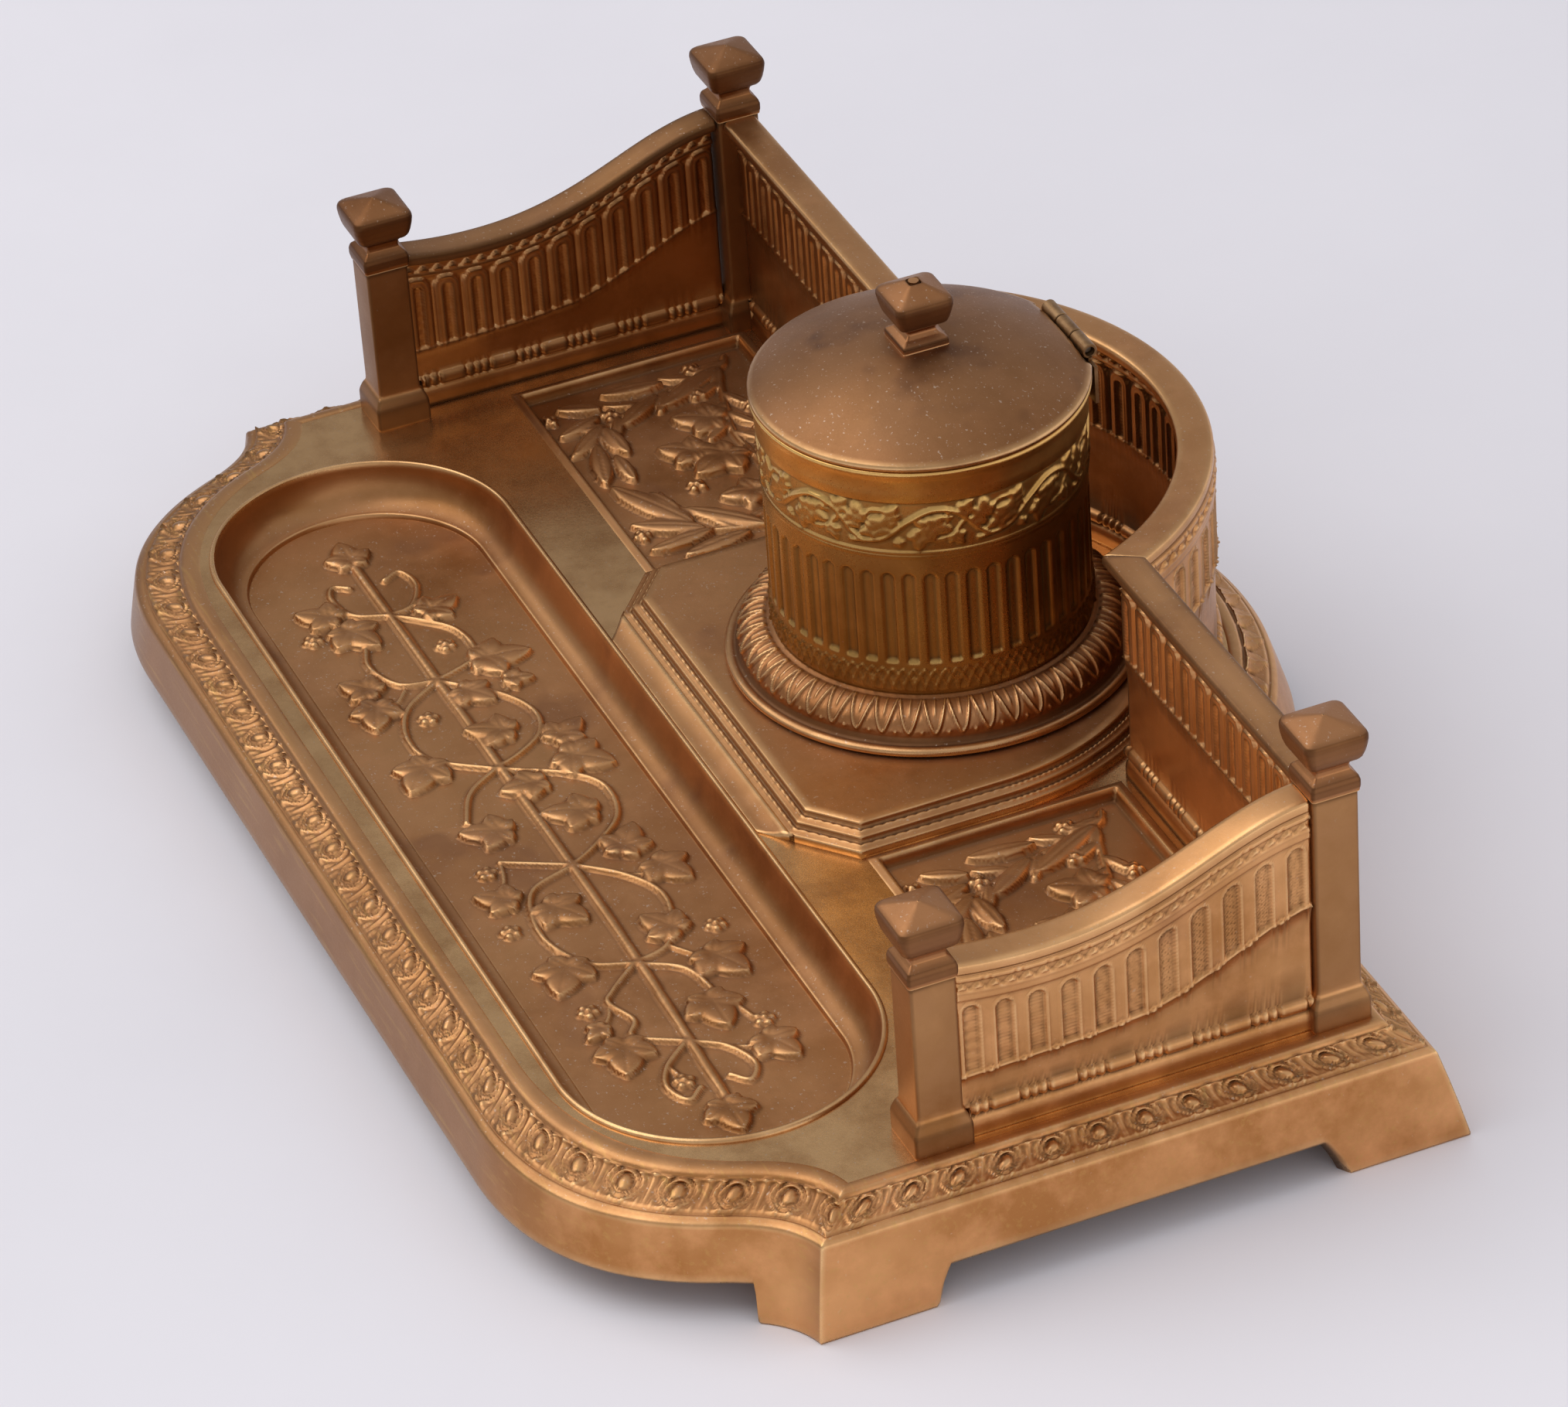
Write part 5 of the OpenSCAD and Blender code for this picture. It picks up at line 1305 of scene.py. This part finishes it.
def revolved(profile, columns):
    """Rings of a (radius, height) profile about the inkwell's axis."""
    turn = np.linspace(0, 2 * math.pi, columns, endpoint=False)
    r, z = np.asarray(profile, float).T
    return np.stack([np.outer(np.cos(turn), r), np.outer(np.sin(turn), r),
                     np.broadcast_to(z, (columns, len(z)))], -1), turn


WELL_FLUTES = 48


def well_relief(turn, z):
    """Height of the well body's flutes, lancets and lines, by angle and height."""
    cell = 2 * math.pi / WELL_FLUTES
    x = (np.mod(turn + cell / 2, cell) - cell / 2) * WELL_R
    pitch = cell * WELL_R
    # interlaced lancets at the foot
    up = np.clip((z - 38.2) / 4.8, 0, 1)
    half = pitch / 2 * (1 - up ** 1.8)
    zone = (z > 38.1) & (z < 43.1)
    lancets = np.maximum(bell(np.abs(x) - half, 0.3), bell(pitch / 2 - np.abs(x) - half, 0.3))
    h = (0.36 * lancets + 0.25 * bell(x, 0.22) * (up < 0.6)) * zone
    # flutes with round heads, and a bright sill under each
    reach = np.hypot(x, np.maximum(z - 63.1, 0))
    h -= 0.6 * step(1.3 - reach, 0.0, 0.3) * step(z, 44.0, 45.2)
    # lines that frame the frieze, and one at the foot
    h += 0.35 * bell(z - 69.1, 0.35) + 0.25 * bell(z - 68.3, 0.3) + 0.38 * bell(z - 80.5, 0.4)
    return h - 0.2 * bell(z - 37.6, 0.3)


# One wave of the inkwell's vine: places as shares of the wave, and heights up the frieze
WAVES = 8
VINE = ((-0.1, 1.6), (0.15, 2.6), (0.35, 6.4), (0.55, 8.8), (0.75, 7.6), (0.9, 3.6), (1.0, 1.8))
VINE_SHOOTS = (((0.3, 5.4), (0.2, 8.2), (0.06, 8.4), (0.03, 6.6)),
               ((0.8, 6.2), (0.68, 3.0), (0.52, 2.2), (0.48, 3.8)))
VINE_LEAVES = ((0.13, 5.9, 160, 2.7), (-0.05, 8.0, 100, 2.3), (0.24, 8.6, 60, 1.8),
               (0.04, 3.9, -160, 2.2), (0.6, 4.9, -20, 2.7), (0.44, 2.2, -100, 2.4),
               (0.74, 2.0, -60, 1.8), (0.82, 9.0, 60, 2.0), (0.46, 6.0, 150, 1.9),
               (0.94, 6.4, 30, 2.2))
VINE_BERRIES = ((0.28, 1.8), (0.66, 7.0))


def frieze():
    """Relief of the waving vine round the well, unrolled, and its length."""
    length = 2 * math.pi * WELL_R
    relief = Relief(-20.0, length + 20.0, 0.0, FRIEZE_H, 0.33)
    wave = length / WAVES
    for k in range(-1, WAVES + 1):
        x = k * wave
        relief.stem([(x + share * wave, y) for share, y in VINE], 0.55, 1.1)
        for shoot in VINE_SHOOTS:
            relief.stem([(x + share * wave, y) for share, y in shoot], 0.42, 0.75, 0.6)
        for share, y, turn, tip in VINE_LEAVES:
            relief.ivy(x + share * wave, y, turn, 0.95 * tip, 1.0, 2)
        for share, y in VINE_BERRIES:
            relief.berries(x + share * wave, y, 0.5, 0.8, 4)
    return relief, length


def sample(relief, u, v):
    """Height of a relief at points between its grid lines."""
    i = np.clip(np.interp(u, relief.x, np.arange(len(relief.x))), 0, len(relief.x) - 1.001)
    j = np.clip(np.interp(v, relief.y, np.arange(len(relief.y))), 0, len(relief.y) - 1.001)
    i0, j0 = i.astype(int), j.astype(int)
    a, b = i - i0, j - j0
    h = relief.h
    return ((h[i0, j0] * (1 - a) + h[i0 + 1, j0] * a) * (1 - b)
            + (h[i0, j0 + 1] * (1 - a) + h[i0 + 1, j0 + 1] * a) * b)


def make_well(material):
    """Round body with its ornament, plain band and rim, hollow, with a flat for the hinge."""
    wall = [(WELL_R, z) for z in np.linspace(RING_TOP + 0.05, RIM_TOP - 7.3, 130)]
    band = [(WELL_R + out, RIM_TOP + up) for out, up in (
        (0.4, -7.2), (0.55, -6.9), (0.6, -5.0), (0.8, -2.6))]
    band += [(RIM_R + out, RIM_TOP + up) for out, up in (
        (-0.35, -1.5), (-0.05, -1.1), (0.0, -0.5), (-0.12, -0.1), (-0.4, 0.0))]
    inside = [(WELL_IN + 0.3, RIM_TOP), (WELL_IN, RIM_TOP - 0.3), (WELL_IN, RIM_TOP - 12),
              (WELL_IN, LEDGE), (24.0, LEDGE), (24.0, LEDGE - 3.5), (0.3, LEDGE - 3.5),
              (0.3, LEDGE - 6.5), (26.0, LEDGE - 6.5), (26.0, RING_TOP)]
    rings, turn = revolved(wall + band + inside, 600)
    face = rings[:, :len(wall)]
    z = face[..., 2]
    turn = np.broadcast_to(turn[:, None], z.shape)
    relief, length = frieze()
    v = z - FRIEZE_FOOT
    vine = sample(relief, turn / (2 * math.pi) * length, np.clip(v, 0, FRIEZE_H))
    h = well_relief(turn, z) + np.where((v > 0) & (v < FRIEZE_H), vine * FRIEZE_DEPTH, 0)
    face[..., 0] += np.cos(turn) * h
    face[..., 1] += np.sin(turn) * h
    x, y, z = rings[..., 0], rings[..., 1], rings[..., 2]
    behind = (np.abs(x) < FLAT_HALF) & (z > RIM_TOP - FLAT_DEEP) & (y > WELL_FLAT)
    rings[..., 1] = np.where(behind, WELL_FLAT, y)
    add_loops("well_cast", rings, material, "stand", closed=True, node="well_body")


LEAVES = 46  # leaves round the ring
BAND_R, BAND_Z = 31.5, 31.9  # their band is a quarter of an oval
BAND_OUT, BAND_UP = 6.0, 5.2


def ring_relief(turn, v):
    """Height of the ring's leaves, by angle and the share of the way up their band."""
    x = np.mod(turn / (2 * math.pi) * LEAVES + 0.5, 1.0)[:, None] - 0.5
    side = 0.5 - np.abs(x)
    up = np.clip((v - 0.12) / 0.8, 0, 1)
    inside = 0.49 * up ** 0.55 - np.abs(x)
    leaf = step(inside, -0.02, 0.03) * (v > 0.12) * (v < 0.95)
    outline = bell(inside - 0.04, 0.08) * (v > 0.1) * (v < 0.95)
    spindle = bell(x, 0.08) * step(v, 0.42, 0.6) * (v < 0.95)
    behind = step(0.3 - 0.5 * up - side, 0.0, 0.05) * (v > 0.14)
    tips = 0.45 * bell(side, 0.12) * bell(v - 0.16, 0.07)
    return np.maximum.reduce([0.1 * leaf + 0.5 * outline, 0.42 * spindle, 0.08 * behind, tips,
                              0.5 * bell(x, 0.1) * bell(v - 0.14, 0.06)])


def make_ring(material):
    """Moulded ring of pointed leaves under the inkwell, with a round bead at its foot."""
    bead = [(39.1 + 1.1 * math.cos(a), PLAT_TOP + 1.1 + 0.95 * math.sin(a))
            for a in np.linspace(-1.2, 2.2, 9)]
    band = [(BAND_R + BAND_OUT * math.cos(a), BAND_Z + BAND_UP * math.sin(a))
            for a in np.linspace(0.0, math.pi / 2, 26)]
    profile = [(26.1, PLAT_TOP)] + bead + [(38.1, PLAT_TOP + 1.75), (37.8, PLAT_TOP + 2.4)]
    profile += band + [(31.1, RING_TOP), (26.1, RING_TOP)]
    profile = filled(np.array(profile), 2.0)
    rings, turn = revolved(profile, 22 * LEAVES)
    r, z = profile.T
    climb = np.arctan2((z - BAND_Z) / BAND_UP, (r - BAND_R) / BAND_OUT) / (math.pi / 2)
    h = ring_relief(turn, np.clip(climb, 0, 1)[None, :]) - 0.1
    on_band = (r > 31.2) & (r < 37.6) & (z > 31.7)
    rings += surface_normals(rings) * np.where(on_band[None, :], h, 0)[..., None]
    add_loops("leaf_ring", rings, material, "stand", closed=True, node="well_ring")


LID_GAP, LID_RISE = 0.2, 8.2  # over the rim, and up to the dome's top


def make_lid(material):
    """Shallow dome with a thick edge, a flat behind and a lip inside the rim."""
    foot = RIM_TOP + LID_GAP
    edge = foot + 1.1
    ball = (RIM_R ** 2 + LID_RISE ** 2) / (2 * LID_RISE)
    out, back = np.linspace(RIM_R - 0.35, 0.4, 40), np.linspace(0.4, 25.6, 14)
    top, under = (edge + LID_RISE - ball + np.sqrt(ball ** 2 - r * r) for r in (out, back))
    profile = [(25.6, foot - 1.5), (27.6, foot - 1.5), (27.6, foot), (RIM_R - 0.25, foot),
               (RIM_R, foot + 0.2), (RIM_R, edge - 0.25)]
    profile += [*zip(out, np.minimum(top, edge + LID_RISE - 0.4)), *zip(back, under - 2.0)]
    rings, _ = revolved(profile, 384)
    behind = (np.abs(rings[..., 0]) < FLAT_HALF + 0.1) & (rings[..., 1] > LID_FLAT)
    rings[..., 1] = np.where(behind, LID_FLAT, rings[..., 1])
    add_loops("lid_cast", rings, material, "lid_group", closed=True, node="lid")


def make_knob(material):
    line = finial_line(LID_FINIAL, low("lid_finial", 2))
    add_square("lid_knob_cast", line, 0, 0, material, "lid_group", "lid_finial")


# Hinge: radius of its knuckles and of their holes, half lengths of the lid's and of all
KNUCKLE, BORE, LID_KNUCKLE, HINGE_HALF = 1.5, 1.0, 3.0, 9.2
HINGE_Y, HINGE_Z = middle("hinge_pin").y - AXIS_Y, middle("hinge_pin").z
LEAF = 0.35  # half of a hinge leaf's thickness
PIN_R, PIN_BACK = 0.95, 1.2  # the pin sits this far inside the ends
TUBE_SIDES = 32


def tube(x0, x1, radius, hole):
    """Points and faces of a short tube along the hinge's axis."""
    section = [(x0, hole), (x0, radius - 0.15), (x0 + 0.15, radius), (x1 - 0.15, radius),
               (x1, radius - 0.15), (x1, hole)]
    turn = np.linspace(0, 2 * math.pi, TUBE_SIDES, endpoint=False)
    points = [(x, HINGE_Y + r * math.cos(a), HINGE_Z + r * math.sin(a))
              for a in turn for x, r in section]
    return points, grid_faces(TUBE_SIDES, len(section), True, True)


def slab(x0, x1, y0, y1, z0, z1):
    """Points and faces of a leaf of the hinge."""
    points = [(x, y, z) for x in (x0, x1) for y in (y0, y1) for z in (z0, z1)]
    return points, [(0, 1, 3, 2), (4, 6, 7, 5), (0, 4, 5, 1), (2, 3, 7, 6), (0, 2, 6, 4),
                    (1, 5, 7, 3)]


def add_joined(name, shapes, material, body, slot, node):
    """One piece from several shapes of points and faces."""
    points, faces = [], []
    for more, around in shapes:
        faces += [[i + len(points) for i in face] for face in around]
        points += more
    add_mesh(name, place(points), faces, material, body, slot, node, smooth=False)


def make_hinge(material, pin_finish):
    """Three knuckles with gaps between, on a leaf in the lid and one in the inkwell."""
    wide, back, front = high("hinge_body_leaf", 0), HINGE_Y + LEAF, HINGE_Y - LEAF
    seat, neck = RIM_TOP - 0.02, HINGE_Z - BORE - 0.1
    inner = LID_KNUCKLE + 0.3
    shapes = [slab(-wide, wide, front, back, low("hinge_body_leaf", 2), seat)]
    for x0, x1 in ((-HINGE_HALF, -inner), (inner, HINGE_HALF)):
        shapes += [tube(x0, x1, KNUCKLE, BORE), slab(x0, x1, front, back, seat, neck)]
    add_joined("hinge_body_cast", shapes, material, "stand", "bare_brass", "hinge_body_leaf")
    tail = HINGE_Y - 1.8  # where the lid's leaf turns up
    shapes = [tube(-LID_KNUCKLE, LID_KNUCKLE, KNUCKLE, BORE),
              slab(-HINGE_HALF, HINGE_HALF, low("hinge_lid_leaf", 1) - AXIS_Y, tail,
                   RIM_TOP + 0.25, RIM_TOP + 0.95),
              slab(-LID_KNUCKLE, LID_KNUCKLE, tail, HINGE_Y, low("hinge_lid_leaf", 2), neck)]
    add_joined("hinge_lid_cast", shapes, material, "lid_group", "bare_brass", "hinge_lid_leaf")
    shapes = [tube(PIN_BACK - HINGE_HALF, HINGE_HALF - PIN_BACK, PIN_R, 0.05)]
    add_joined("hinge_pin_turned", shapes, pin_finish, "stand", "steel", "hinge_pin")


def make_liner(material):
    """Thick pressed cup with a rounded inside and a rolled rim, standing on its ledge."""
    r, top = 27.7, high("well_liner", 2)
    profile = [(0.3, LEDGE), (r - 1, LEDGE), (r - 0.4, LEDGE + 0.6), (r - 0.4, top - 3),
               (r, top - 2.4), (r, top - 0.4), (r - 0.5, top), (r - 2.1, top),
               (r - 2.6, top - 0.5), (r - 3, top - 4), (r - 3, LEDGE + 6), (r - 4, LEDGE + 3.6),
               (r - 6, LEDGE + 2.6), (0.3, LEDGE + 2.6)]
    rings, _ = revolved(filled(eased(profile, 0.4), 6.0), 96)
    add_loops("liner_glass", rings, material, "stand", closed=True, slot="liner_glass",
              node="well_liner")


# ---- build ---------------------------------------------------------------------

make_camera()
make_stage()
make_world()
area_light("key", (-0.6, -0.9, 1.6), (2.2, 1.8), 22, (1.0, 0.985, 0.97))

brass = brass_material("gilt_brass")
# its faces turned to the front get painted shade
skirt_brass = brass_material("gilt_brass_skirt", base=(208, 153, 102), brushed=0.4, stain=0.3,
                             front_shade=1.0)
# painted shade: a darker copy of the gilt brass, standing in for the dim light on the deck's upward
# faces
deck_brass = brass_material("gilt_brass_deck", base=(158, 112, 70), stain=0.8, dusty=0.3,
                            rough=0.28, end_light=0.3)
# painted shade: a darker copy of the gilt brass for the upward faces of the tray, plaques and
# platform
tray_brass = brass_material("gilt_brass_tray", base=(186, 136, 90), stain=0.6, end_light=0.4)
# painted highlight: a paler base, which also moves the tone toward olive, and the rim share light
# the well's band, with painted shade below it
well_brass = brass_material("gilt_brass_well", base=(200, 162, 98), worn=(222, 182, 120),
                            rough=0.29, dusty=0.1, wear=0.1, stain=0.15, deep=0.9,
                            grain=0.12, rim=(0.070, 0.083))
# painted shade: a darker copy of the gilt brass for the lid's dome
lid_brass = brass_material("gilt_brass_lid", base=(142, 100, 65), stain=1.0, rough=0.36)
# painted shade: a darker copy of the gilt brass for the upward faces of the finials, the ring and
# the knob
finial_brass = brass_material("gilt_brass_finial", base=(166, 116, 76))
bare_brass = plain_metal("bare_brass", (165, 132, 96), 0.42)
steel = plain_metal("steel", (150, 146, 138), 0.35)
glass = glass_material()

make_skirt(skirt_brass)
make_deck(deck_brass)
make_tray(tray_brass)
make_tray_floor(tray_brass)
for side in (1, -1):
    make_plaque(side, tray_brass)
make_platform(tray_brass)
make_posts(brass, finial_brass)
for side in ("left", "right"):
    make_side(side, brass)
make_rear(brass)
make_ring(finial_brass)
make_well(well_brass)
make_lid(lid_brass)
make_knob(finial_brass)
make_hinge(bare_brass, steel)
make_liner(glass)

FINISH = {"bare_brass": bare_brass, "steel": steel, "liner_glass": glass}
for part in frame["record"]["subparts"]:
    piece = frame["nodes"][part["node"]]
    piece.data.materials.clear()
    piece.data.materials.append(FINISH.get(part["material_slot"], brass))

bpy.context.scene.view_settings.view_transform = "Standard"
